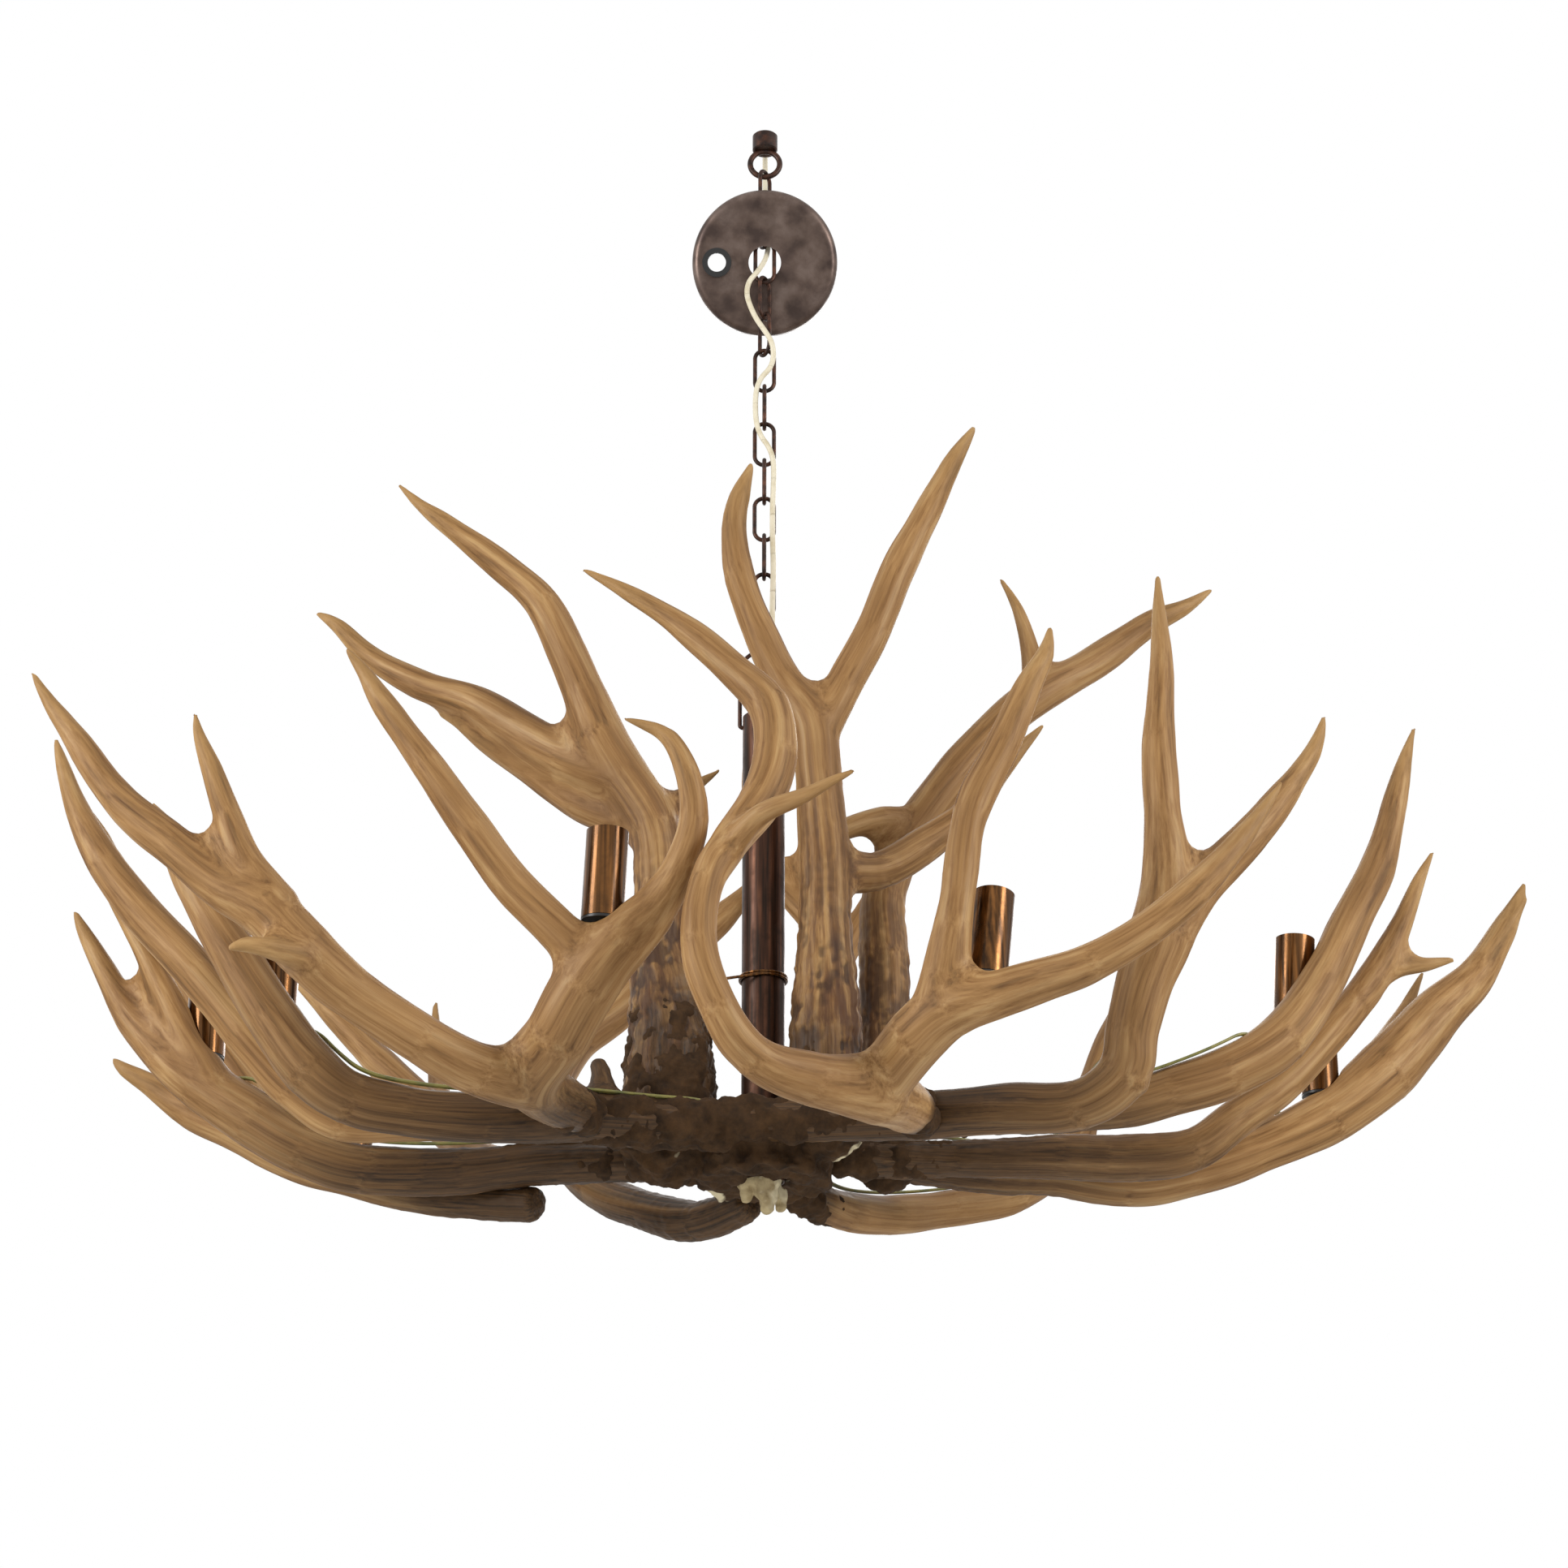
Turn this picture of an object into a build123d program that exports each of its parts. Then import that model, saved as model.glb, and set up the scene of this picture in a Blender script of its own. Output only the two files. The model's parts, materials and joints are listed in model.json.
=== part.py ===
from build123d import *
from math import cos, pi, radians, sin, sqrt, tan
import os

# An antler chandelier: forked antlers in a low ring and upright round a copper stem, with copper
# candle sleeves on their beams, hung from a ceiling loop by a chain that carries a slipped canopy.
# All sizes are in millimetres. The origin is the middle of the ceiling loop's threaded mouth,
# x runs to the right, y to the back and z up, so the whole object hangs below z = 0.

SEAT_GAP = 0.3              # room left between two pieces that touch

# Ceiling loop: a hollow threaded collar over a wire ring
COLLAR_D = 22.0
COLLAR_LENGTH = 16.0
COLLAR_THREAD_D = 9.8
COLLAR_THREAD_DEPTH = 6.0
COLLAR_WIRE_HOLE_DEPTH = 11.0
COLLAR_WIREWAY_D = 6.5
COLLAR_WIREWAY_DEPTH = 9.5
COLLAR_CHAMFER = 1.0
RING_D = 26.0               # across the centre line of the wire
RING_WIRE_D = 5.0

# Chain of oval wire links
LINK_COUNT = 13
LINK_WIRE_D = 3.6
LINK_INNER_LENGTH = 36.0
LINK_WIDTH = 20.0
TWISTED_LINKS = 6           # these turn by a sixth each, as the chain is twisted near the canopy
TWIST = 60.0
CANOPY_LINK = 3             # the link that the canopy hooks on

# Canopy: a shallow round pan that has slid down the chain and hangs tilted
CANOPY_D = 127.0
CANOPY_DEPTH = 18.0
CANOPY_WALL = 1.0
CANOPY_EDGE_R = 7.0
CANOPY_HOLE_D = 28.4
CANOPY_TILT = 26.0          # its face looks this far below level
BUSHING_OFFSET = 0.33 * CANOPY_D       # from the middle of the canopy to the bushing
BUSHING_FLANGE_D = 25.4
BUSHING_NECK_D = 20.6
BUSHING_BORE_D = 16.0
BUSHING_FLANGE = 2.0
BUSHING_NECK = 5.0
BUSHING_CLEARANCE = 0.2

# Wire bail in the top of the stem
BAIL_WIRE_D = 3.5
BAIL_HEIGHT = 70.0          # from the pivot to the middle of the wire at the top
BAIL_PIN_REACH = 6.0        # how far the wire's ends stand inside the stem
BAIL_CORNER_R = 2.6
BAIL_HOLE_CLEARANCE = 0.8
BAIL_SIDE_ROOM = 0.7        # between a leg and the stem's wall
BAIL_BELOW_TOP = 9.0        # from the stem's top edge down to the pivot

# Copper stem pipe
STEM_D = 34.9
STEM_WALL = 1.4
STEM_ABOVE_HUB = 385.0
STEM_BELOW_HUB = 16.0

# Copper tie wire round the stem
TIE_WIRE_D = 2.4
TIE_HEIGHT = 153.0
TIE_TURNS = 2
TIE_PITCH = 2.2
TIE_TAIL = 14.0
TIE_TAIL_DROP = 0.15        # how far the tail falls for each unit of its length

# Filler round the stem's foot, between the butts of the antlers
CORE_D = 108.0
CORE_BOTTOM = -18.0
CORE_TOP = 34.0
PUTTY_PLUG = 11.0           # how far the putty fills the stem's foot
PUTTY_LIP = 1.5
PUTTY_TAPER = 14.0
PUTTY_DRIPS = [             # x, y, top thickness, length
    (4, -6, 24, 26),
    (-13, 2, 15, 15),
    (14, 6, 14, 20),
]

# Candle sleeves and the sockets inside them
SLEEVE_D = 31.8
SLEEVE_WALL = 0.8
SLEEVE_LENGTH = 70.0
SLEEVE_TRAVEL = 50.0
SOCKET_CLEARANCE = 0.4
SOCKET_SHORT = 3.0          # the socket's mouth stands this far below the sleeve's top
SOCKET_FLANGE = 2.0
SOCKET_FLANGE_INSET = 0.2   # in from the sleeve's outside
SOCKET_MOUTH_D = 26.4
SOCKET_MOUTH_DEPTH = 24.0
STUD_D = 9.6
STUD_IN_SOCKET = 8.0
STUD_ELBOW_DEPTH = 6.0      # below the seat
STUD_ELBOW_SWELL = 0.5
STUD_CLEARANCE = 0.4
SEAT_CLEARANCE = 0.6        # room round a sleeve where the antler is cut back for it

# Supply cord and the flex on the antlers
CORD_D = 4.6
FLEX_D = 4.4

SECTION_START = (1, 2, 3)   # a direction that no limb sets out along, to lay its sections by

# Each antler is a list of limbs, its beam first and then its tines. A point on a limb is
# (x, y, z, thickness), measured from the hub, the point on the stem's axis where the ring meets.
ANTLERS = {
    "antler_front_right": [
        [(120, -112, 5, 36), (85, -215, -10, 51), (35, -275, -20, 39), (-5, -310, -15, 33),
         (-30, -330, 15, 30), (-45, -330, 65, 28), (-40, -320, 115, 27), (-25, -305, 150, 29),
         (0, -285, 195, 34), (10, -275, 235, 35), (5, -265, 280, 33), (-25, -260, 315, 27),
         (-60, -255, 350, 22), (-100, -250, 380, 14), (-140, -245, 405, 4)],
        [(-25, -310, 145, 22), (0, -330, 165, 17), (30, -340, 175, 13), (55, -350, 185, 8),
         (70, -355, 190, 3)],
        [(90, -225, -5, 43), (115, -268, 15, 46), (140, -290, 30, 45), (172, -304, 34, 37),
         (205, -315, 42, 32), (240, -330, 50, 29), (280, -330, 75, 28), (315, -330, 105, 25),
         (350, -325, 145, 18), (385, -320, 195, 4)],
        [(125, -278, 20, 39), (134, -296, 50, 36), (140, -304, 85, 30), (145, -304, 115, 26),
         (155, -295, 180, 28), (180, -290, 235, 27), (200, -285, 285, 22), (215, -285, 315, 14),
         (220, -280, 340, 4)],
    ],
    "antler_front_left": [
        [(-140, -98, 10, 36), (-172, -195, 5, 50), (-150, -245, 25, 50), (-130, -265, 55, 50),
         (-105, -275, 85, 47), (-80, -280, 110, 35), (-60, -290, 140, 26), (-50, -295, 175, 23),
         (-55, -300, 210, 20), (-70, -300, 240, 15), (-90, -300, 250, 8), (-105, -300, 255, 3)],
        [(-125, -270, 70, 37), (-150, -275, 95, 34), (-185, -280, 130, 32), (-215, -290, 170, 30),
         (-250, -295, 220, 26), (-285, -295, 270, 20), (-300, -295, 295, 12), (-315, -295, 315, 4)],
        [(-172, -195, 5, 48), (-210, -235, 0, 41), (-250, -260, 15, 37), (-300, -275, 45, 39),
         (-335, -285, 75, 45), (-365, -290, 105, 41), (-400, -290, 125, 34), (-435, -290, 155, 32),
         (-480, -285, 195, 28), (-515, -280, 245, 20), (-540, -275, 280, 11), (-555, -275, 305, 4)],
        [(-355, -290, 105, 36), (-380, -295, 140, 26), (-395, -300, 175, 22), (-410, -300, 215, 16),
         (-420, -300, 240, 10), (-425, -300, 260, 4)],
        [(-335, -300, 65, 23), (-360, -320, 65, 16), (-375, -325, 65, 12), (-385, -330, 60, 5)],
    ],
    "antler_right_1": [
        [(-22, -53, 18, 33), (45, -65, 15, 34), (115, -90, 10, 38), (185, -125, 5, 39),
         (240, -150, 0, 41), (275, -165, 20, 44), (280, -175, 50, 41), (290, -180, 85, 44),
         (305, -185, 125, 51), (310, -185, 170, 40), (310, -180, 230, 29), (310, -175, 290, 27),
         (315, -170, 355, 20), (315, -165, 400, 13), (315, -165, 440, 4)],
        [(305, -185, 125, 47), (340, -175, 170, 34), (380, -165, 215, 29), (410, -155, 255, 24),
         (435, -145, 295, 14), (445, -145, 325, 4)],
    ],
    "antler_right_2": [
        [(105, -52, 22, 30), (165, -48, 24, 32), (230, -55, 25, 34), (280, -55, 30, 37),
         (320, -60, 40, 39), (365, -60, 55, 42), (410, -55, 85, 42), (445, -45, 135, 37),
         (470, -35, 185, 34), (500, -25, 245, 29), (520, -15, 310, 20), (530, -10, 345, 12),
         (540, -5, 375, 4)],
        [(425, -45, 110, 32), (465, 0, 185, 24), (495, 35, 245, 20), (520, 65, 305, 14),
         (535, 85, 355, 4)],
    ],
    "antler_right_3": [
        [(40, 45, 20, 29), (100, 40, 15, 30), (155, 40, 15, 30), (235, 35, 15, 37), (300, 35, 15, 39),
         (345, 30, 20, 37), (380, 30, 45, 33), (425, 35, 80, 29), (465, 40, 125, 30),
         (500, 45, 170, 29), (525, 50, 215, 20), (545, 55, 260, 12), (560, 60, 290, 4)],
        [(485, 40, 150, 27), (515, 50, 180, 19), (545, 50, 185, 13), (570, 50, 190, 5)],
    ],
    "antler_right_4": [
        [(112, 100, 28, 29), (185, 120, 25, 29), (240, 125, 25, 31), (300, 130, 20, 36),
         (355, 130, 30, 39), (410, 130, 50, 39), (470, 130, 80, 47), (520, 135, 120, 54),
         (565, 140, 170, 45), (605, 140, 210, 33), (630, 135, 250, 22), (650, 135, 290, 5)],
        [(610, 135, 220, 25), (635, 130, 255, 12), (650, 130, 275, 4)],
        [(510, 145, 125, 31), (540, 180, 175, 19), (570, 205, 235, 4)],
    ],
    "antler_rear_right": [
        [(32, 66, -8, 26), (65, 115, -6, 33), (105, 165, 5, 34), (155, 215, 25, 32),
         (215, 260, 50, 31), (260, 300, 95, 31), (285, 330, 150, 32), (305, 350, 205, 31),
         (330, 360, 260, 29), (350, 365, 320, 28), (360, 365, 375, 25), (365, 360, 445, 19),
         (370, 355, 525, 14), (370, 350, 590, 5)],
        [(330, 360, 285, 25), (360, 375, 340, 21), (400, 385, 380, 18), (440, 390, 425, 12),
         (485, 395, 485, 5)],
        [(255, 295, 90, 25), (300, 320, 100, 19), (350, 335, 105, 13), (395, 340, 110, 4)],
    ],
    "antler_left_1": [
        [(-28, -51, 15, 32), (-90, -60, 15, 38), (-150, -75, 15, 42), (-215, -100, 5, 39),
         (-275, -120, 5, 39), (-315, -135, 10, 42), (-345, -145, 30, 45), (-375, -150, 70, 41),
         (-400, -150, 110, 39), (-425, -150, 150, 34), (-445, -150, 185, 29), (-465, -145, 225, 19),
         (-480, -145, 250, 4)],
        [(-125, -65, 25, 19), (-125, -65, 45, 17), (-130, -60, 65, 13)],
    ],
    "antler_left_2": [
        [(-150, -44, 28, 27), (-220, -32, 25, 28), (-280, -40, 20, 29), (-330, -45, 20, 33),
         (-370, -50, 45, 34), (-410, -55, 90, 35), (-450, -55, 140, 35), (-495, -50, 190, 34),
         (-530, -50, 235, 30), (-555, -45, 280, 21), (-570, -45, 320, 13), (-580, -40, 350, 4)],
        [(-455, -45, 150, 29), (-490, 0, 200, 21), (-530, 35, 255, 17), (-555, 60, 305, 11),
         (-575, 75, 340, 4)],
    ],
    "antler_left_3": [
        [(-35, 45, 10, 29), (-100, 35, 10, 31), (-170, 35, 10, 34), (-245, 40, 5, 38),
         (-320, 35, 5, 40), (-370, 30, 20, 43), (-410, 30, 45, 47), (-455, 30, 75, 42),
         (-485, 30, 100, 36), (-515, 35, 135, 29), (-540, 40, 175, 21), (-560, 40, 210, 12),
         (-570, 40, 230, 4)],
        [(-445, 25, 75, 33), (-470, 20, 115, 28), (-490, 15, 155, 22), (-515, 15, 200, 15),
         (-545, 20, 245, 4)],
    ],
    "antler_left_4": [
        [(-180, 47, -20, 30), (-225, 70, -10, 33), (-280, 90, 0, 30), (-335, 100, 15, 29),
         (-390, 110, 35, 31), (-435, 115, 60, 31), (-475, 120, 80, 28), (-510, 125, 105, 20),
         (-535, 125, 120, 12), (-545, 130, 130, 5)],
        [(-395, 110, 40, 27), (-430, 145, 105, 23), (-465, 165, 160, 21), (-500, 180, 215, 17),
         (-540, 185, 265, 4)],
    ],
    "antler_rear_left": [
        [(-8, 66, -14, 30), (-52, 112, -15, 35), (-95, 155, 5, 33), (-140, 210, 40, 35),
         (-175, 265, 95, 35), (-190, 320, 160, 35), (-170, 360, 220, 35), (-130, 385, 265, 34),
         (-100, 400, 320, 33), (-95, 410, 380, 26), (-105, 410, 435, 21), (-125, 410, 490, 15),
         (-150, 410, 530, 5)],
        [(-175, 355, 210, 28), (-210, 380, 220, 22), (-260, 390, 215, 18), (-305, 390, 235, 4)],
        [(-105, 400, 305, 30), (-70, 395, 330, 33), (-40, 390, 355, 27), (-10, 380, 385, 13),
         (-5, 375, 415, 4)],
    ],
    "antler_rear_low_left": [
        [(-150, 50, 28, 30), (-190, 120, 35, 33), (-230, 200, 60, 33), (-265, 270, 100, 33),
         (-300, 320, 150, 31), (-345, 350, 200, 30), (-390, 370, 250, 22), (-440, 380, 300, 5)],
        [(-280, 290, 120, 28), (-290, 350, 165, 22), (-300, 400, 225, 16), (-305, 430, 285, 5)],
        [(-240, 220, 70, 28), (-290, 280, 70, 20), (-345, 330, 85, 12), (-385, 360, 105, 4)],
    ],
    "antler_rear_centre": [
        [(30, 52, 33, 30), (30, 140, 32, 34), (35, 210, 50, 34), (40, 280, 95, 34), (45, 330, 160, 32),
         (50, 350, 230, 30), (50, 358, 300, 28), (45, 355, 370, 27), (38, 350, 440, 20),
         (30, 345, 500, 5)],
        [(50, 355, 265, 26), (85, 365, 335, 24), (120, 370, 400, 20), (165, 372, 460, 14),
         (205, 372, 520, 4)],
        [(47, 352, 330, 24), (10, 355, 380, 20), (-15, 355, 450, 13), (-20, 352, 500, 4)],
    ],
    "antler_upright_front": [
        [(50, -35, 22, 54), (50, -35, 95, 57), (50, -35, 145, 49), (50, -35, 195, 42),
         (50, -35, 250, 41), (45, -35, 315, 38), (40, -35, 365, 40), (15, -35, 405, 32),
         (-5, -40, 450, 28), (-20, -45, 495, 26), (-25, -45, 540, 22), (-20, -45, 570, 18),
         (-10, -45, 600, 5)],
        [(45, -35, 355, 35), (65, -30, 400, 31), (90, -30, 450, 31), (110, -25, 505, 30),
         (135, -20, 560, 26), (160, -15, 615, 18), (180, -15, 650, 5)],
        [(55, -30, 235, 33), (95, -10, 245, 32), (130, 0, 270, 31), (170, 10, 305, 25),
         (200, 20, 350, 18), (235, 25, 390, 4)],
    ],
    "antler_upright_left": [
        [(-75, 0, 22, 73), (-75, 0, 95, 68), (-80, 0, 135, 56), (-85, 0, 180, 43), (-85, 0, 235, 41),
         (-90, -5, 285, 41), (-115, -5, 330, 43), (-135, -10, 365, 42), (-150, -10, 405, 36),
         (-165, -15, 440, 34), (-185, -20, 480, 31), (-220, -20, 515, 26), (-265, -25, 550, 18),
         (-290, -25, 570, 10), (-310, -25, 590, 4)],
        [(-120, -5, 330, 39), (-165, 10, 355, 38), (-205, 25, 385, 35), (-245, 35, 415, 30),
         (-290, 45, 435, 26), (-335, 55, 465, 21), (-365, 55, 495, 13), (-385, 60, 510, 4)],
        [(-100, 5, 290, 36), (-150, 25, 320, 35), (-190, 40, 355, 31), (-235, 50, 390, 26),
         (-260, 55, 410, 18), (-275, 55, 415, 9)],
        [(-85, 0, 295, 21), (-60, 10, 325, 13), (-35, 15, 345, 3)],
    ],
    "antler_upright_rear": [
        [(100, 75, 22, 42), (100, 75, 150, 44), (100, 75, 200, 42), (100, 85, 255, 38),
         (115, 90, 300, 37), (145, 95, 350, 36), (190, 105, 410, 36), (230, 110, 450, 35),
         (285, 125, 490, 31), (335, 130, 530, 24), (370, 135, 550, 14), (395, 140, 570, 4)],
        [(235, 110, 455, 25), (230, 110, 500, 17), (220, 105, 535, 11), (205, 105, 565, 4)],
        [(125, 90, 325, 27), (100, 75, 325, 23), (65, 65, 310, 18), (40, 60, 290, 10),
         (30, 60, 285, 4)],
    ],
}

# An antler that meets another is coped round it: cut to its shape with a seat gap between
COPED = {
    "antler_front_right": ["antler_right_1"],
    "antler_front_left": ["antler_left_1"],
    "antler_right_2": ["antler_right_1"],
    "antler_left_2": ["antler_left_1"],
    "antler_left_4": ["antler_left_3"],
    "antler_rear_centre": ["antler_right_3"],
    "antler_rear_low_left": ["antler_left_3"],
    "antler_upright_front": ["antler_right_1"],
    "antler_upright_left": ["antler_left_1", "antler_left_3"],
    "antler_upright_rear": ["antler_right_3", "antler_right_4"],
    "hub_core": [
        "antler_left_1", "antler_left_3", "antler_right_1", "antler_right_3", "antler_rear_left",
        "antler_rear_right", "antler_rear_centre", "antler_upright_left", "antler_upright_front",
        "antler_upright_rear",
    ],
}

# Lamps: the antler, the seat under the sleeve, the leans to the right and to the back in degrees,
# and the point in the antler that the threaded stud reaches
LAMPS = [
    ("antler_front_left", (-118, -273, 101), (2.4, 0), (-119, -273, 84)),
    ("antler_front_right", (165, -282, 52), (6, 8), (158, -292, 35)),
    ("antler_right_2", (424, -22, 108), (4, 0), (422, -50, 100)),
    ("antler_right_4", (465, 132, 97), (0, 0), (466, 131, 80)),
    ("antler_left_1", (-378, -113, 76), (1, 0), (-372, -146, 68)),
    ("antler_left_3", (-453, 30, 96), (0, 0), (-452, 30, 78)),
    ("antler_left_4", (-338, 102, 26), (0, 0), (-337, 101, 12)),
    ("antler_rear_right", (332, 329, 228), (0, 0), (315, 354, 213)),
]

# The supply cord's route, from the collar's wireway down along the chain and into the stem. It
# passes through the eye of the canopy's link and crosses from side to side in front of the chain.
SUPPLY_ROUTE = [
    (0, 3, -9.5), (0, 16, -9.5), (0, 27, -15), (0, 32, -27), (0, 29, -41), (0, 20, -54), (0, 14, -68),
    (1, 13, -84), (3, 10, -98), (3, 6, -111), (1, 1, -124), (-3, -4, -135), (-8, -7, -144),
    (-14, -8, -152), (-16, -7, -164), (-12, -8, -178), (-7, -9, -190), (0, -13, -203),
    (7, -12, -215), (8, -8, -227), (5, -7, -237), (-3, -7, -246), (-7, -6, -256), (-8, -6, -272),
    (-7, -6, -290), (-3, -7, -303), (4, -7, -313), (8, -6, -325), (8, -6, -346), (7, -7, -370),
    (7, -6, -398), (8, -7, -428), (7, -6, -458), (7, -7, -486), (5, -6, -512), (3, -5, -536),
    (2, -2, -560), (1, 0, -584),
]

# The flexes' routes over the beams, from the hub to a hole in the antler beside each socket,
# measured from the hub, with the pieces that each one is let into
FLEX_ROUTES = [
    [(-20, -40, 22), (-50, -50, 34), (-91, -54, 35), (-150, -76, 38), (-166, -125, 34),
     (-168, -185, 34), (-160, -224, 46), (-148, -242, 58), (-134, -258, 46)],
    [(2, -40, 24), (14, -60, 36), (48, -72, 35), (85, -83, 33), (110, -110, 28), (103, -160, 22),
     (92, -212, 20), (112, -246, 36), (134, -264, 46), (146, -276, 30)],
    [(36, 6, 22), (60, 8, 38), (95, -14, 42), (130, -40, 45), (164, -59, 39), (226, -66, 40),
     (277, -67, 46), (314, -73, 56), (354, -74, 72), (386, -60, 93), (404, -46, 78)],
    [(30, 34, 22), (62, 40, 35), (105, 36, 34), (150, 44, 35), (192, 84, 40), (240, 116, 42),
     (299, 130, 40), (349, 130, 51), (405, 128, 73), (430, 130, 87), (450, 131, 75)],
    [(-14, -44, 22), (-38, -62, 32), (-88, -72, 32), (-147, -88, 34), (-210, -112, 23),
     (-270, -132, 23), (-305, -147, 27), (-326, -141, 46), (-339, -136, 61), (-353, -139, 66),
     (-363, -148, 53)],
    [(-22, 36, 18), (-50, 50, 26), (-84, 47, 27), (-118, 34, 28), (-160, 27, 27), (-210, 26, 26),
     (-262, 25, 23),
     (-317, 21, 24), (-362, 15, 37), (-396, 24, 66), (-418, 28, 84), (-440, 30, 76)],
    [(-16, 46, 8), (-48, 58, 12), (-98, 54, 9), (-146, 57, 3), (-188, 67, 2), (-228, 73, 9),
     (-268, 86, 16), (-298, 94, 23), (-318, 98, 11)],
    [(26, 46, 14), (42, 74, 14), (62, 116, 13), (92, 152, 20), (128, 188, 32), (164, 222, 46),
     (202, 250, 62), (235, 271, 89), (258, 290, 118), (279, 311, 158), (294, 322, 190),
     (306, 340, 204)],
]
FLEX_CARRIERS = [
    ["hub_core", "antler_left_1", "antler_front_left", "antler_right_1"],
    ["hub_core", "antler_right_1", "antler_front_right"],
    ["hub_core", "antler_right_2"],
    ["hub_core", "antler_right_3", "antler_right_4"],
    ["hub_core", "antler_left_1", "antler_right_1"],
    ["hub_core", "antler_left_3"],
    ["hub_core", "antler_left_3", "antler_left_4"],
    ["hub_core", "antler_rear_right"],
]
CORNER_SHARE = 0.45         # of the shorter run at a corner, taken up by the corner's arc

# The heights follow from the chain: every piece hangs on the one above it
link_radius = LINK_WIRE_D / 2
link_pitch = LINK_INNER_LENGTH - SEAT_GAP
ring_centre_z = -COLLAR_LENGTH - RING_D / 2
ring_seat_z = ring_centre_z - RING_D / 2 + RING_WIRE_D / 2
first_link_z = ring_seat_z + SEAT_GAP - LINK_INNER_LENGTH / 2
last_link_z = first_link_z - (LINK_COUNT - 1) * link_pitch
bail_top_z = last_link_z - LINK_INNER_LENGTH / 2 + SEAT_GAP + BAIL_WIRE_D / 2
bail_pivot_z = bail_top_z - BAIL_HEIGHT
stem_top_z = bail_pivot_z + BAIL_BELOW_TOP
hub_z = stem_top_z - STEM_ABOVE_HUB
stem_radius = STEM_D / 2


os.makedirs("parts", exist_ok=True)


def save(part, name):
    part.label = name
    export_step(part, f"parts/{name}.step")


def from_hub(point):
    x, y, z = point
    return Vector(x, y, z + hub_z)


def standing_plane(z, angle):
    """A vertical plane on the chain's axis: its x runs along the angle and its y runs up."""
    turn = radians(angle)
    return Plane(origin=(0, 0, z), x_dir=(cos(turn), sin(turn), 0), z_dir=(sin(turn), -cos(turn), 0))


def corner_radii(points):
    """The radius of the arc at each corner of a route, as large as the corner's two runs allow."""
    radii = []
    for before, corner, after in zip(points, points[1:], points[2:]):
        run_in = corner - before
        run_out = after - corner
        half_turn = radians(run_in.get_angle(run_out)) / 2
        radii.append(CORNER_SHARE * min(run_in.length, run_out.length) / tan(half_turn))
    return radii


def tube(points, diameter):
    """A round tube along straight runs, with an arc at each corner."""
    with BuildPart() as piece:
        with BuildLine() as path:
            FilletPolyline(*points, radius=corner_radii(points))
        with BuildSketch(Plane(origin=path.line @ 0, z_dir=path.line % 0)):
            Circle(diameter / 2)
        sweep()
    return piece.part


def flex(index, room=0.0):
    """The flex to one socket, thicker by the room all round."""
    return tube([from_hub(point) for point in FLEX_ROUTES[index]], FLEX_D + 2 * room)


def print_route(name, points, diameter):
    """Prints a cord's tightest arc, and its volume against its section times its length."""
    with BuildLine() as path:
        FilletPolyline(*points, radius=corner_radii(points))
    length = sum(edge.length for edge in path.line.edges())
    share = tube(points, diameter).volume / (pi * diameter**2 / 4 * length)
    radii = [round(radius) for radius in corner_radii(points)]
    print(f"{name}: length {length:.0f}, volume share {share:.4f}, radii {radii}")


# Ceiling loop
with BuildPart() as ceiling_loop:
    with BuildSketch(Plane.XY):
        Circle(COLLAR_D / 2)
    extrude(amount=-COLLAR_LENGTH)
    chamfer(ceiling_loop.edges(), COLLAR_CHAMFER)
    with Locations(Location((0, 0, ring_centre_z), (90, 0, 0))):
        Torus(RING_D / 2, RING_WIRE_D / 2)
    with BuildSketch(Plane.XY):
        Circle(COLLAR_THREAD_D / 2)
    extrude(amount=-COLLAR_THREAD_DEPTH, mode=Mode.SUBTRACT)
    with BuildSketch(Plane.XY):
        Circle(COLLAR_WIREWAY_D / 2)
    extrude(amount=-COLLAR_WIRE_HOLE_DEPTH, mode=Mode.SUBTRACT)
    with BuildSketch(Plane(origin=(0, 0, -COLLAR_WIREWAY_DEPTH), z_dir=(0, 1, 0))):
        Circle(COLLAR_WIREWAY_D / 2)
    extrude(amount=COLLAR_D, mode=Mode.SUBTRACT)
save(ceiling_loop.part, "ceiling_loop")


# Chain
def link_angle(number):
    """The direction of a link's plane: twisted in even steps first, then crosswise by turns."""
    if number <= TWISTED_LINKS:
        return TWIST * number
    return TWIST * TWISTED_LINKS + 90 * ((number - TWISTED_LINKS) % 2)


def link_z(number):
    return first_link_z - (number - 1) * link_pitch


def chain_link(number):
    """An oval of wire: the upper half is swept and mirrored down."""
    half_width = LINK_WIDTH / 2 - link_radius
    straight = LINK_INNER_LENGTH / 2 + link_radius - half_width
    plane = standing_plane(link_z(number), link_angle(number))
    with BuildPart() as piece:
        with BuildLine(plane):
            Line((half_width, 0), (half_width, straight))
            ThreePointArc((half_width, straight), (0, straight + half_width), (-half_width, straight))
            Line((-half_width, straight), (-half_width, 0))
        foot = plane.from_local_coords((half_width, 0, 0))
        with BuildSketch(Plane(origin=foot, z_dir=(0, 0, 1))):
            Circle(link_radius)
        sweep()
        mirror(about=Plane.XY.offset(link_z(number)))
    return piece.part


for number in range(1, LINK_COUNT + 1):
    save(chain_link(number), f"chain_link_{number:02d}")


# Canopy, hooked on its link by the hole in its middle, and the bushing in its side
tilt = radians(CANOPY_TILT)
canopy_plane = Plane(
    origin=(0, 0, link_z(CANOPY_LINK)),
    x_dir=(1, 0, 0),
    z_dir=(0, -sin(tilt), cos(tilt)),
)
bushing_at = canopy_plane.from_local_coords((-BUSHING_OFFSET, -CANOPY_WALL / 2, 0))
bushing_plane = Plane(origin=bushing_at, x_dir=(1, 0, 0), z_dir=canopy_plane.y_dir)

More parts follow.
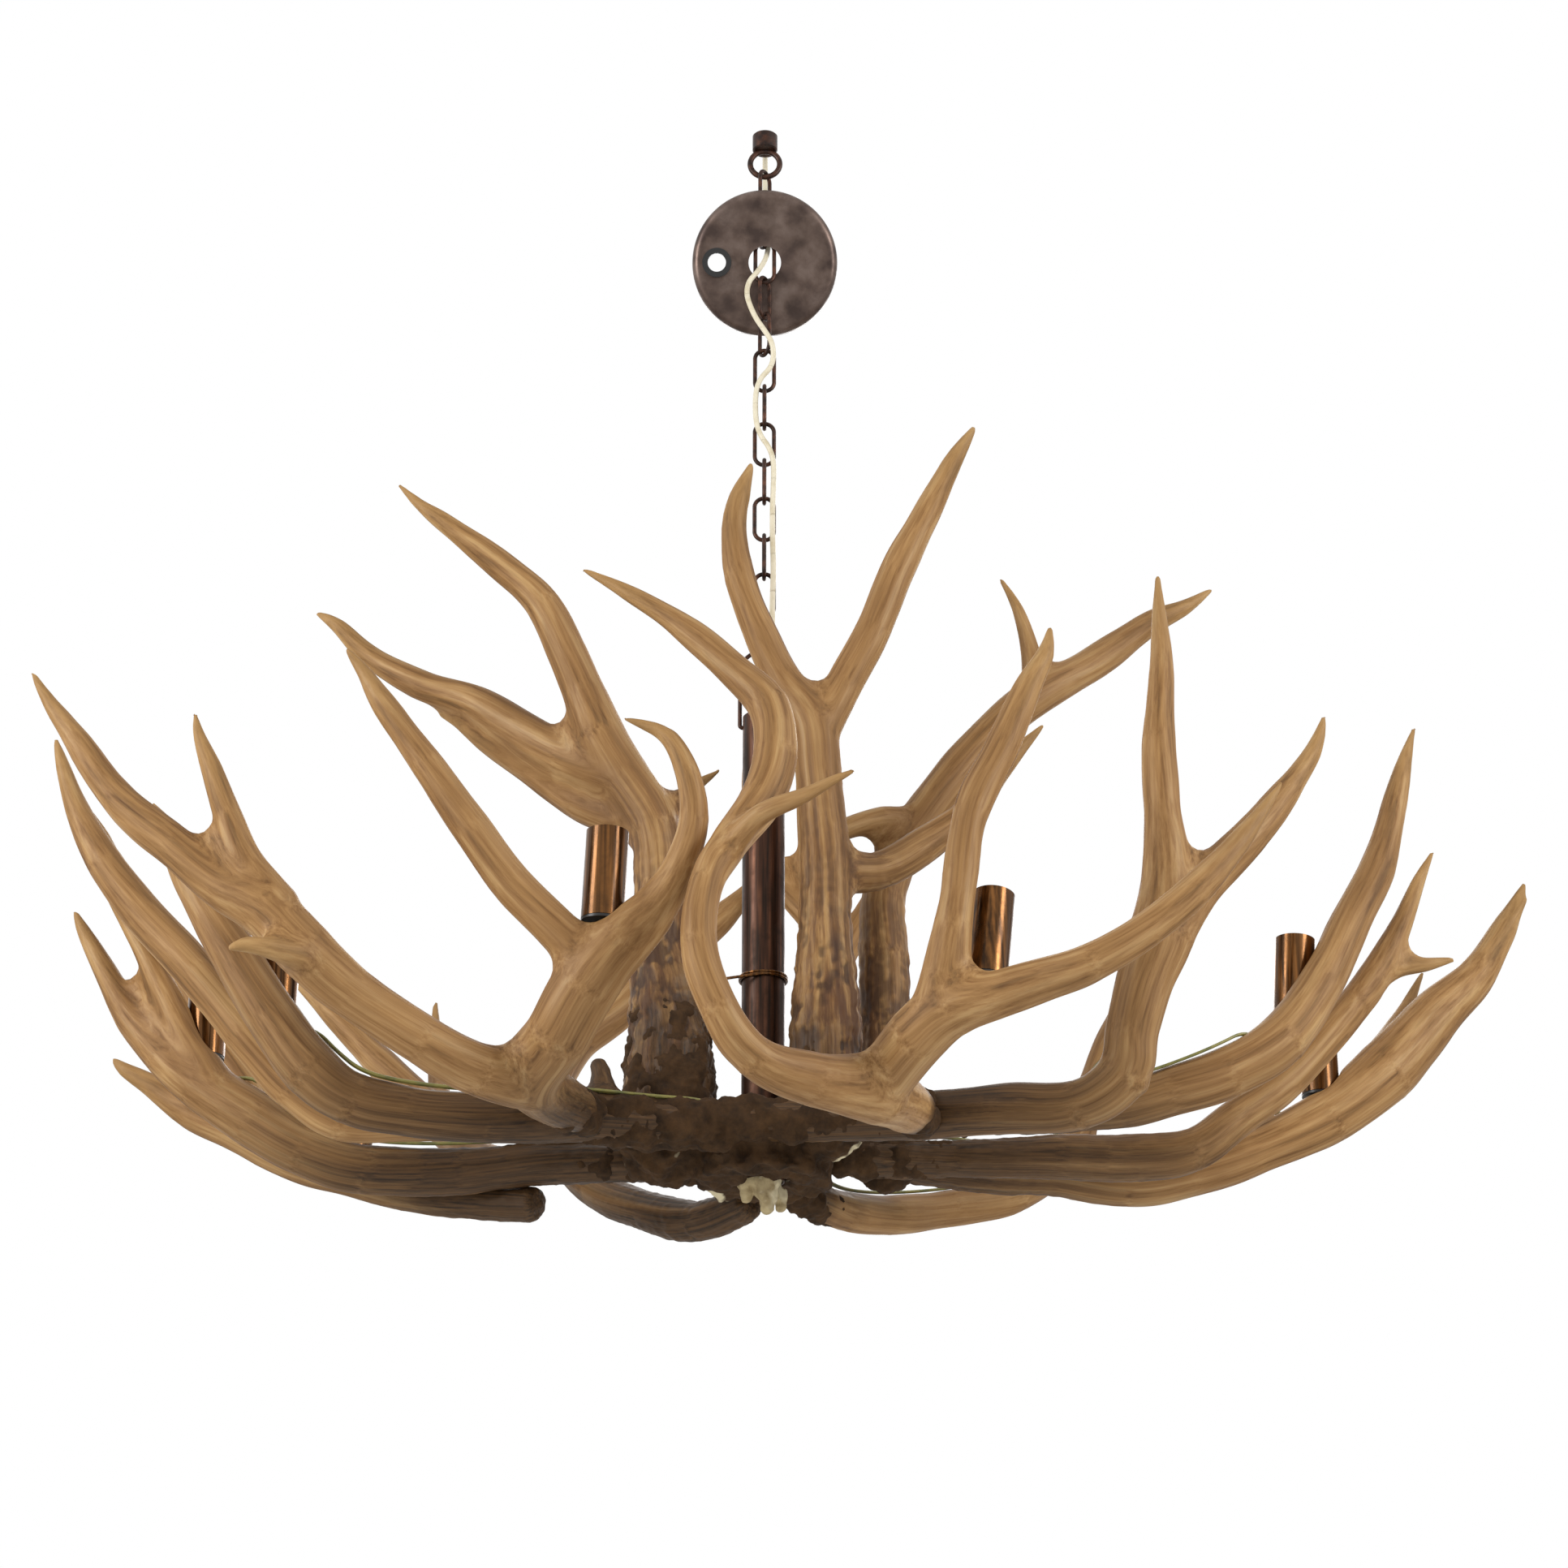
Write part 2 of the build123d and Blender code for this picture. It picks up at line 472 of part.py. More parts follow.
canopy_radius = CANOPY_D / 2
canopy_face = -CANOPY_WALL / 2
canopy_rim = canopy_face + CANOPY_DEPTH
edge_centre = canopy_face + CANOPY_EDGE_R
flat_radius = canopy_radius - CANOPY_EDGE_R


def edge_middle(radius):
    """The middle of a quarter round at the canopy's edge."""
    return (flat_radius + radius * sin(radians(45)), edge_centre - radius * cos(radians(45)))


with BuildPart() as canopy:
    with BuildSketch(canopy_plane):
        with BuildLine():
            Line((CANOPY_HOLE_D / 2, canopy_face), (flat_radius, canopy_face))
            ThreePointArc((flat_radius, canopy_face), edge_middle(CANOPY_EDGE_R), (canopy_radius, edge_centre))
            Polyline(
                (canopy_radius, edge_centre),
                (canopy_radius, canopy_rim),
                (canopy_radius - CANOPY_WALL, canopy_rim),
                (canopy_radius - CANOPY_WALL, edge_centre),
            )
            ThreePointArc(
                (canopy_radius - CANOPY_WALL, edge_centre),
                edge_middle(CANOPY_EDGE_R - CANOPY_WALL),
                (flat_radius, canopy_face + CANOPY_WALL),
            )
            Polyline(
                (flat_radius, canopy_face + CANOPY_WALL),
                (CANOPY_HOLE_D / 2, canopy_face + CANOPY_WALL),
                (CANOPY_HOLE_D / 2, canopy_face),
            )
        make_face()
    revolve(axis=Axis(canopy_plane.origin, canopy_plane.y_dir))
    with BuildSketch(bushing_plane):
        Circle(BUSHING_NECK_D / 2 + BUSHING_CLEARANCE)
    extrude(amount=2 * CANOPY_WALL, both=True, mode=Mode.SUBTRACT)
save(canopy.part, "canopy")

with BuildPart() as canopy_bushing:
    with BuildSketch(bushing_plane.offset(-SEAT_GAP)):
        Circle(BUSHING_FLANGE_D / 2)
    extrude(amount=-BUSHING_FLANGE)
    with BuildSketch(bushing_plane.offset(-SEAT_GAP)):
        Circle(BUSHING_NECK_D / 2)
    extrude(amount=BUSHING_NECK)
    with BuildSketch(bushing_plane):
        Circle(BUSHING_BORE_D / 2)
    extrude(amount=BUSHING_NECK + BUSHING_FLANGE, both=True, mode=Mode.SUBTRACT)
save(canopy_bushing.part, "canopy_bushing")


# Bail: a wire arch whose ends turn in through the stem's wall
bail_side = stem_radius + BAIL_SIDE_ROOM + BAIL_WIRE_D / 2
bail_shoulder_z = bail_top_z - bail_side
pin_end = stem_radius - BAIL_PIN_REACH

with BuildPart() as bail:
    with BuildLine(Plane.XZ):
        FilletPolyline(
            (pin_end, bail_pivot_z),
            (bail_side, bail_pivot_z),
            (bail_side, bail_shoulder_z),
            radius=BAIL_CORNER_R,
        )
        ThreePointArc((bail_side, bail_shoulder_z), (0, bail_top_z), (-bail_side, bail_shoulder_z))
        FilletPolyline(
            (-bail_side, bail_shoulder_z),
            (-bail_side, bail_pivot_z),
            (-pin_end, bail_pivot_z),
            radius=BAIL_CORNER_R,
        )
    with BuildSketch(Plane(origin=(pin_end, 0, bail_pivot_z), z_dir=(1, 0, 0))):
        Circle(BAIL_WIRE_D / 2)
    sweep()
save(bail.part, "bail")


# Stem pipe with the two holes for the bail
with BuildPart() as stem_pipe:
    with BuildSketch(Plane.XY.offset(hub_z - STEM_BELOW_HUB)):
        Circle(stem_radius)
        Circle(stem_radius - STEM_WALL, mode=Mode.SUBTRACT)
    extrude(amount=STEM_BELOW_HUB + STEM_ABOVE_HUB)
    with BuildSketch(Plane(origin=(0, 0, bail_pivot_z), z_dir=(1, 0, 0))):
        Circle(BAIL_WIRE_D / 2 + BAIL_HOLE_CLEARANCE / 2)
    extrude(amount=STEM_D, both=True, mode=Mode.SUBTRACT)
save(stem_pipe.part, "stem_pipe")


# Tie wire: close turns round the stem and a free tail to the left
tie_radius = stem_radius + SEAT_GAP + TIE_WIRE_D / 2
tie_z = hub_z + TIE_HEIGHT

with BuildPart() as tie_wire:
    for turn in range(TIE_TURNS):
        with Locations((0, 0, tie_z + turn * TIE_PITCH)):
            Torus(tie_radius, TIE_WIRE_D / 2)
    with BuildSketch(Plane(origin=(0, -tie_radius, tie_z), z_dir=(-1, 0, -TIE_TAIL_DROP))):
        Circle(TIE_WIRE_D / 2)
    extrude(amount=tie_radius + TIE_TAIL)
save(tie_wire.part, "tie_wire")


def limb(points, room=0.0):
    """A round limb lofted through its points, thicker by the room all round."""
    places = [from_hub(point[:3]) for point in points]
    across = Vector(SECTION_START)
    with BuildPart() as piece:
        for index, place in enumerate(places):
            before = places[max(index - 1, 0)]
            after = places[min(index + 1, len(places) - 1)]
            ahead = (after - before).normalized()
            across = (across - ahead * across.dot(ahead)).normalized()
            with BuildSketch(Plane(origin=place, x_dir=across, z_dir=ahead)):
                Circle(points[index][3] / 2 + room)
        loft(ruled=True)
    return piece.part


def lamp_plane(seat, lean):
    """The plane of a sleeve's foot, turned over by its leans to the right and to the back."""
    right, back = (sin(radians(angle)) for angle in lean)
    up = sqrt(1 - right**2 - back**2)
    return Plane(origin=from_hub(seat), x_dir=(up, 0, -right), z_dir=(right, back, up))


def stud(seat, lean, anchor, room=0.0):
    """A bent stud from inside a socket down into the antler, thicker by the room all round."""
    plane = lamp_plane(seat, lean)
    elbow = plane.from_local_coords((0, 0, -STUD_ELBOW_DEPTH))
    reach = from_hub(anchor) - elbow
    with BuildPart() as piece:
        with BuildSketch(plane.offset(-STUD_ELBOW_DEPTH)):
            Circle(STUD_D / 2 + room)
        extrude(amount=STUD_ELBOW_DEPTH + STUD_IN_SOCKET)
        with Locations(elbow):
            Sphere(STUD_D / 2 + STUD_ELBOW_SWELL + room)
        with BuildSketch(Plane(origin=elbow, z_dir=reach)):
            Circle(STUD_D / 2 + room)
        extrude(amount=reach.length + room)
    return piece.part


def lamp_room(seat, lean, anchor):
    """What an antler is cut back by for a lamp: the sleeve's flat seat and travel, and the stud's hole."""
    hole = stud(seat, lean, anchor, STUD_CLEARANCE / 2)
    with BuildPart() as piece:
        with BuildSketch(lamp_plane(seat, lean)):
            Circle(SLEEVE_D / 2 + SEAT_CLEARANCE)
        extrude(amount=SLEEVE_LENGTH + SLEEVE_TRAVEL)
        add(hole)
    return piece.part


def carve(name, solid):
    """Cuts a solid back for the antlers, lamps and flexes that it meets, and keeps its main piece."""
    cuts = [limb(ANTLERS[other][0], SEAT_GAP) for other in COPED.get(name, [])]
    cuts += [lamp_room(seat, lean, anchor) for carrier, seat, lean, anchor in LAMPS if carrier == name]
    cuts += [
        flex(index, SEAT_GAP)
        for index, carriers in enumerate(FLEX_CARRIERS)
        if name in carriers
    ]
    with BuildPart() as piece:
        add(solid)
        for cut in cuts:
            add(cut, mode=Mode.SUBTRACT)
    return piece.part.solids().sort_by(SortBy.VOLUME)[-1]


# Antlers
for name, limbs in ANTLERS.items():
    solids = [limb(points) for points in limbs]
    with BuildPart() as antler:
        add(solids)
    save(carve(name, antler.part), name)


# Filler round the stem's foot
with BuildPart() as core:
    with BuildSketch(Plane.XY.offset(hub_z + CORE_BOTTOM)):
        Circle(CORE_D / 2)
        Circle(stem_radius + SEAT_GAP, mode=Mode.SUBTRACT)
    extrude(amount=CORE_TOP - CORE_BOTTOM)
save(carve("hub_core", core.part), "hub_core")

drip_top = Plane.XY.offset(hub_z + CORE_BOTTOM - SEAT_GAP)

with BuildPart() as putty:
    with BuildSketch(drip_top.offset(-PUTTY_LIP)):
        Circle(stem_radius - STEM_WALL - SEAT_GAP)
    extrude(amount=PUTTY_LIP + PUTTY_PLUG)
    for x, y, width, length in PUTTY_DRIPS:
        with BuildSketch(drip_top):
            with Locations((x, y)):
                Circle(width / 2)
        extrude(amount=-length, taper=PUTTY_TAPER)
save(putty.part, "hub_putty")


# Lamps
socket_radius = SLEEVE_D / 2 - SLEEVE_WALL - SOCKET_CLEARANCE
sleeve_seat = SOCKET_FLANGE + 2 * SEAT_GAP
socket_length = sleeve_seat - SEAT_GAP + SLEEVE_LENGTH - SOCKET_SHORT

for number, (carrier, seat, lean, anchor) in enumerate(LAMPS, start=1):
    plane = lamp_plane(seat, lean)
    with BuildPart() as sleeve:
        with BuildSketch(plane.offset(sleeve_seat)):
            Circle(SLEEVE_D / 2)
            Circle(SLEEVE_D / 2 - SLEEVE_WALL, mode=Mode.SUBTRACT)
        extrude(amount=SLEEVE_LENGTH)
    save(sleeve.part, f"candle_sleeve_{number}")

    with BuildPart() as socket:
        with BuildSketch(plane.offset(SEAT_GAP)):
            Circle(SLEEVE_D / 2 - SOCKET_FLANGE_INSET)
        extrude(amount=SOCKET_FLANGE)
        with BuildSketch(plane.offset(SEAT_GAP)):
            Circle(socket_radius)
        extrude(amount=socket_length)
        with BuildSketch(plane.offset(SEAT_GAP + socket_length)):
            Circle(SOCKET_MOUTH_D / 2)
        extrude(amount=-SOCKET_MOUTH_DEPTH, mode=Mode.SUBTRACT)
        with BuildSketch(plane):
            Circle((STUD_D + STUD_CLEARANCE) / 2)
        extrude(amount=STUD_IN_SOCKET + SEAT_GAP, mode=Mode.SUBTRACT)
    save(socket.part, f"lamp_socket_{number}")

studs = [stud(seat, lean, anchor) for carrier, seat, lean, anchor in LAMPS]
with BuildPart() as socket_studs:
    add(studs)
save(socket_studs.part, "socket_studs")


# Cords
supply_points = [Vector(*point) for point in SUPPLY_ROUTE]
print_route("supply cord", supply_points, CORD_D)
save(tube(supply_points, CORD_D), "supply_cord")

flexes = [flex(index) for index in range(len(FLEX_ROUTES))]
with BuildPart() as branch_cords:
    add(flexes)
save(branch_cords.part, "branch_cords")
for index, route in enumerate(FLEX_ROUTES):
    print_route(f"flex {index + 1}", [from_hub(point) for point in route], FLEX_D)
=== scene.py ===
import json
import math
import random

import bmesh
import bpy
import numpy as np
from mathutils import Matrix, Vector, noise

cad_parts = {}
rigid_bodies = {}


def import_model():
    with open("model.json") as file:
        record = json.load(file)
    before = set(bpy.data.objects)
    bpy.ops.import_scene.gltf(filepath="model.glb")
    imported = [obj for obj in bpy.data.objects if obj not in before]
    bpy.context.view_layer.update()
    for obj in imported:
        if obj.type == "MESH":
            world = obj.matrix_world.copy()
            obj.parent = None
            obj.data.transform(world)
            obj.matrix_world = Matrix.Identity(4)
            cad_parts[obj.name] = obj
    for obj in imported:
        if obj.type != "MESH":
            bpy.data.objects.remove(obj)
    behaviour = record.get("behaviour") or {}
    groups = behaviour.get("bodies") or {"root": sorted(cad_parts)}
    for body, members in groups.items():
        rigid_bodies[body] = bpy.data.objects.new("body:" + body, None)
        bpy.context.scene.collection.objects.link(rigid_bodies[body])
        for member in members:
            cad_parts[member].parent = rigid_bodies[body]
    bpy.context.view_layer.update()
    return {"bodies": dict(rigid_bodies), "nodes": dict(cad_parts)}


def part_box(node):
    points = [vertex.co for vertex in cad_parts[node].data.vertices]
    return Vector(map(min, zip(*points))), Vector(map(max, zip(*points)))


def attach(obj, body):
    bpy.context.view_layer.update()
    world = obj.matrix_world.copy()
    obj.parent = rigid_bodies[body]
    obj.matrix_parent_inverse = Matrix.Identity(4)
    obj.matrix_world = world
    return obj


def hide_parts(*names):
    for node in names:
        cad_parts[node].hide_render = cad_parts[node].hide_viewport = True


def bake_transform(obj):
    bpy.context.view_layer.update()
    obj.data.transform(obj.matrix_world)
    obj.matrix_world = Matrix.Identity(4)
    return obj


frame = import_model()
nodes = frame["nodes"]
millimetre = 0.001
random.seed(7)               # draws where the grain of each antler starts
print("frame loaded:", len(nodes), "nodes")

# Antlers and flexes are measured in mm from the hub, on the stem's axis a little above its foot
hubAboveFoot = 16
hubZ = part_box("stem_pipe")[0][2] + hubAboveFoot * millimetre


# The linear colour that a shader takes, from sRGB hex
def hexColour(text):
    channels = [int(text[start:start + 2], 16) / 255 for start in (0, 2, 4)]
    linear = [c / 12.92 if c <= 0.04045 else ((c + 0.055) / 1.055) ** 2.4 for c in channels]
    return (*linear, 1.0)


# One node with its settings, its inputs as values or links, and its stops where it is a ramp
def addNode(tree, kind, settings=None, inputs=None, stops=None):
    made = tree.nodes.new("ShaderNode" + kind)
    for key, value in (settings or {}).items():
        setattr(made, key, value)
    for key, value in (inputs or {}).items():
        if isinstance(value, bpy.types.NodeSocket):
            tree.links.new(value, made.inputs[key])
        else:
            made.inputs[key].default_value = value
    if stops:
        elements = made.color_ramp.elements
        while len(elements) < len(stops):
            elements.new(0.5)
        for element, (place, colour) in zip(elements, stops):
            element.position = place
            element.color = hexColour(colour)
    return made.outputs


def newMaterial(name):
    material = bpy.data.materials.new(name)
    material.use_nodes = True
    material.node_tree.nodes.clear()
    return material, material.node_tree


# The scale of a pattern whose patches are this many mm wide
def patternScale(size):
    return 1 / (size * millimetre)


def link(piece):
    bpy.context.scene.collection.objects.link(piece)
    return piece


def fromHub(point):
    return Vector((point[0] * millimetre, point[1] * millimetre, point[2] * millimetre + hubZ))


def setMaterial(piece, material):
    piece.data.materials.clear()
    piece.data.materials.append(material)


def shadeSmooth(mesh):
    mesh.polygons.foreach_set("use_smooth", [True] * len(mesh.polygons))


# The mesh that an object shows with its modifiers or bevel; the object itself goes
def takeMesh(piece):
    shown = piece.evaluated_get(bpy.context.evaluated_depsgraph_get())
    mesh = bpy.data.meshes.new_from_object(shown)
    bpy.data.objects.remove(piece)
    return mesh


# The camera stands low in front and looks up at the fixture
view = {
    "distance": 3.0,           # in front of the hub
    "belowHub": 0.917,
    "aside": 0.0168,           # to the right of the stem
    "lookUp": 22.5,            # degrees
    "focalPixels": 4843,       # in a photograph of this width
    "photoPixels": 1932,
    "sensor": 36.0,            # mm
}
cameraData = bpy.data.cameras.new("camera")
cameraData.sensor_width = view["sensor"]
cameraData.lens = view["focalPixels"] / view["photoPixels"] * view["sensor"]
camera = link(bpy.data.objects.new("camera", cameraData))
camera.location = (view["aside"], -view["distance"], hubZ - view["belowHub"])
camera.rotation_euler = (math.radians(90 + view["lookUp"]), 0, 0)
bpy.context.scene.camera = camera

cordLook = {
    "supplyWidth": 4.6,        # mm
    "sides": 6,                # bevel resolution of the supply cord
    "strand": 2.5,             # mm, one conductor of the twin flex
    "strandOut": 0.82,         # of its radius, how far each strand lies from the flex's middle
    "strandSteps": 4,          # points each way round a strand
    "strandTurn": 35,          # degrees between them
    "routeSteps": 8,           # lengths of cord between two points of a route
    "bailShare": 0.35,         # how far down the bail the cord goes over to the stem
}

# From the ceiling loop's wireway down into the stem, in mm
supplyRoute = [
    (0, 3, -9.5), (0, 16, -9.5), (0, 27, -15), (0, 32, -27), (0, 29, -41), (0, 20, -54),
    (0, 14, -68), (1, 13, -84), (3, 10, -98), (3, 6, -111), (1, 1, -124), (-3, -4, -135),
    (-8, -7, -144), (-14, -8, -152), (-16, -7, -164), (-12, -8, -178), (-7, -9, -190),
    (0, -13, -203), (7, -12, -215), (8, -8, -227), (5, -7, -237), (-3, -7, -246), (-7, -6, -256),
    (-8, -6, -272), (-7, -6, -290), (-3, -7, -303), (4, -7, -313), (8, -6, -325), (8, -6, -346),
    (7, -7, -370), (7, -6, -398), (8, -7, -428), (7, -6, -458), (7, -7, -486), (5, -6, -512),
    (3, -5, -536), (2, -2, -560), (1, 0, -584),
]

# Over the beams to each socket, in mm from the hub
flexRoutes = [
    [(-20, -40, 22), (-50, -50, 34), (-91, -54, 35), (-150, -76, 38), (-166, -125, 34),
     (-168, -185, 34), (-160, -224, 46), (-148, -242, 58), (-134, -258, 46)],
    [(2, -40, 24), (14, -60, 36), (48, -72, 35), (85, -83, 33), (110, -110, 28), (103, -160, 22),
     (92, -212, 20), (112, -246, 36), (134, -264, 46), (146, -276, 30)],
    [(36, 6, 22), (60, 8, 38), (95, -14, 42), (130, -40, 45), (164, -59, 39), (226, -66, 40),
     (277, -67, 46), (314, -73, 56), (354, -74, 72), (386, -60, 93), (404, -46, 78)],
    [(30, 34, 22), (62, 40, 35), (105, 36, 34), (150, 44, 35), (192, 84, 40), (240, 116, 42),
     (299, 130, 40), (349, 130, 51), (405, 128, 73), (430, 130, 87), (450, 131, 75)],
    [(-14, -44, 22), (-38, -62, 32), (-88, -72, 32), (-147, -88, 34), (-210, -112, 23),
     (-270, -132, 23), (-305, -147, 27), (-326, -141, 46), (-339, -136, 61), (-353, -139, 66),
     (-363, -148, 53)],
    [(-22, 36, 18), (-50, 50, 26), (-84, 47, 27), (-118, 34, 28), (-160, 27, 27), (-210, 26, 26),
     (-262, 25, 23), (-317, 21, 24), (-362, 15, 37), (-396, 24, 66), (-418, 28, 84),
     (-440, 30, 76)],
    [(-16, 46, 8), (-48, 58, 12), (-98, 54, 9), (-146, 57, 3), (-188, 67, 2), (-228, 73, 9),
     (-268, 86, 16), (-298, 94, 23), (-318, 98, 11)],
    [(26, 46, 14), (42, 74, 14), (62, 116, 13), (92, 152, 20), (128, 188, 32), (164, 222, 46),
     (202, 250, 62), (235, 271, 89), (258, 290, 118), (279, 311, 158), (294, 322, 190),
     (306, 340, 204)],
]


# A smooth curve that its route draws, with closed ends
def routeCurve(name, points):
    curve = bpy.data.curves.new(name, "CURVE")
    curve.dimensions = "3D"
    curve.resolution_u = cordLook["routeSteps"]
    curve.use_fill_caps = True
    spline = curve.splines.new("NURBS")
    spline.points.add(len(points) - 1)
    for knot, point in zip(spline.points, points):
        knot.co = (*point, 1.0)
    spline.order_u = 3
    spline.use_endpoint_u = True
    return curve


# Extruded PVC has an even colour and is slightly waxy, with a little dirt that has settled on it
pvcLook = {
    "roughness": 0.42,
    "ior": 1.5,
    "dirtSize": 11.1,          # mm
    "dirtRange": {"From Min": 0.45, "From Max": 0.75},
    "unevenness": 0.2,         # mm
}


def extrudedPvc(name, clean, dirty):
    material, tree = newMaterial(name)
    place = addNode(tree, "TexCoord")["Object"]
    dirt = addNode(tree, "TexNoise", inputs={
        "Vector": place, "Scale": patternScale(pvcLook["dirtSize"]), "Detail": 4.0})["Fac"]
    soiled = addNode(tree, "MapRange", inputs={"Value": dirt, **pvcLook["dirtRange"]})["Result"]
    colour = addNode(tree, "Mix", {"data_type": "RGBA"}, {
        0: soiled, 6: hexColour(clean), 7: hexColour(dirty)})[2]
    uneven = addNode(tree, "Bump", inputs={
        "Height": dirt, "Distance": pvcLook["unevenness"] * millimetre, "Strength": 1.0})["Normal"]
    shader = addNode(tree, "BsdfPrincipled", inputs={
        "Base Color": colour, "Roughness": pvcLook["roughness"], "IOR": pvcLook["ior"],
        "Normal": uneven})
    addNode(tree, "OutputMaterial", inputs={"Surface": shader["BSDF"]})
    return material


creamPvc = extrudedPvc("cream PVC lead", "E8DFC6", "CDBF9C")
goldPvc = extrudedPvc("gold clear PVC flex", "8B8546", "5D6338")

supplyCurve = routeCurve("supplyLine", [Vector(point) * millimetre for point in supplyRoute])
supplyCurve.bevel_depth = cordLook["supplyWidth"] / 2 * millimetre
supplyCurve.bevel_resolution = cordLook["sides"]
wholeCord = takeMesh(link(bpy.data.objects.new("supplyLine", supplyCurve)))

# The supply cord is cut halfway down each link, so that each stretch spans one joint
chainBodies = sorted(name for name in frame["bodies"] if name.startswith("chain_link_"))
cordBodies = ["ceiling_loop", *chainBodies, "bail", "fixture"]
cutLevels = [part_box("ceiling_loop")[1][2]]
for name in chainBodies:
    linkLow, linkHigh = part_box(name)
    cutLevels.append((linkLow[2] + linkHigh[2]) / 2)
bailLow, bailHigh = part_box("bail")
cutLevels.append(bailHigh[2] - cordLook["bailShare"] * (bailHigh[2] - bailLow[2]))
cutLevels.append(hubZ)

for upper, lower, top, bottom in zip(cordBodies, cordBodies[1:], cutLevels, cutLevels[1:]):
    shape = bmesh.new()
    shape.from_mesh(wholeCord)
    for level, keepAbove in ((top, False), (bottom, True)):
        cut = bmesh.ops.bisect_plane(
            shape, geom=shape.verts[:] + shape.edges[:] + shape.faces[:],
            plane_co=(0, 0, level), plane_no=(0, 0, 1),
            clear_outer=not keepAbove, clear_inner=keepAbove)
        rim = [item for item in cut["geom_cut"] if isinstance(item, bmesh.types.BMEdge)]
        if rim:
            bmesh.ops.holes_fill(shape, edges=rim, sides=0)
    stretch = bpy.data.meshes.new(f"supplyCord_{upper}")
    shape.to_mesh(stretch)
    shape.free()
    shadeSmooth(stretch)
    piece = link(bpy.data.objects.new(f"supplyCord_{upper}", stretch))
    setMaterial(piece, creamPvc)
    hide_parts("supply_cord")
    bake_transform(piece)
bpy.data.meshes.remove(wholeCord)

# Twin flex is two joined strands, whose outline is swept along each route
strandRadius = cordLook["strand"] / 2 * millimetre
outline = []
for side in (1, -1):
    for step in range(-cordLook["strandSteps"], cordLook["strandSteps"] + 1):
        turn = math.radians(step * cordLook["strandTurn"])
        outward = strandRadius * cordLook["strandOut"] + strandRadius * math.cos(turn)
        outline.append((side * outward, side * strandRadius * math.sin(turn)))
profileCurve = bpy.data.curves.new("twinProfile", "CURVE")
profileCurve.dimensions = "2D"
ring = profileCurve.splines.new("POLY")
ring.points.add(len(outline) - 1)
for knot, (x, y) in zip(ring.points, outline):
    knot.co = (x, y, 0, 1)
ring.use_cyclic_u = True
twinProfile = link(bpy.data.objects.new("twinProfile", profileCurve))
for number, route in enumerate(flexRoutes, start=1):
    curve = routeCurve(f"flexLine{number}", [fromHub(point) for point in route])
    curve.bevel_mode = "OBJECT"
    curve.bevel_object = twinProfile
    flexMesh = takeMesh(link(bpy.data.objects.new(f"flexLine{number}", curve)))
    shadeSmooth(flexMesh)
    piece = link(bpy.data.objects.new(f"branchFlex_{number}", flexMesh))
    setMaterial(piece, goldPvc)
    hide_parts("branch_cords")
    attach(piece, "fixture")
bpy.data.objects.remove(twinProfile)
print("cords made")

antlerLook = {
    "voxel": 2.5,              # mm, of the remeshed skin
    "web": 7.0,                # mm, how far a fork is filled out
    "relaxRounds": 14,         # of the whole skin
    "relaxShare": 0.5,         # of the way to its neighbours, in one round
    "fullRelax": 9.0,          # mm, the limb's radius from which it is relaxed in full
    "tipRelax": 0.15,          # how much of that the thinnest tips get
    "followRounds": 16,        # so that the grain runs on from one limb to the next
    "endRounds": 45,           # more at a butt, which is worn round
    "endLength": 22.0,         # mm
    "endFull": 1.2,            # the first fifth of that length is relaxed in full
    "streakWidth": 5.0,        # mm, across the beam
    "streakLength": 115.0,     # mm, along the beam
    "streakDrift": (0.42, 0.27, 0.87),
    "broadGroove": 0.55,       # grooves for each streak width
    "narrowGroove": 1.3,
    "grooveLevel": 0.25,       # taken off, so that grooves go in as much as ridges go out
    "grooveDepth": 0.7,        # mm
    "grooveNearTip": 0.85,     # how much of it the polish takes away
    "grooveNearBurr": 2.2,     # how much of it the roughness adds
    "swell": 1.3,              # mm, slow unevenness of the beam
    "swellSize": 42.0,         # mm
    "swellRadius": 12,         # mm, a thinner limb swells less
    "pearlHeight": 2.3,        # mm, beads near the burr
    "pearlSize": 6.0,          # mm
    "pearlFloor": -0.1,        # beads stand out, and hardly sink in between
    "crag": 3.0,               # mm, torn ridges at the burr itself
    "cragSize": 17.0,          # mm
    "barkAndShadeCore": 50.0,          # mm round the hub that is darkened all over: bark-brown and painted shade
    "barkAndShadeHeight": 0.8,        # the darkening goes up further than out
    "barkAndShadeFromEnd": 45.0,          # mm, how far the darkening goes up from a cut end
    "barkAndShadeAtEnd": 0.9,
    "tipReach": 95.0,          # mm, how far the pale polish comes down from a tip
}

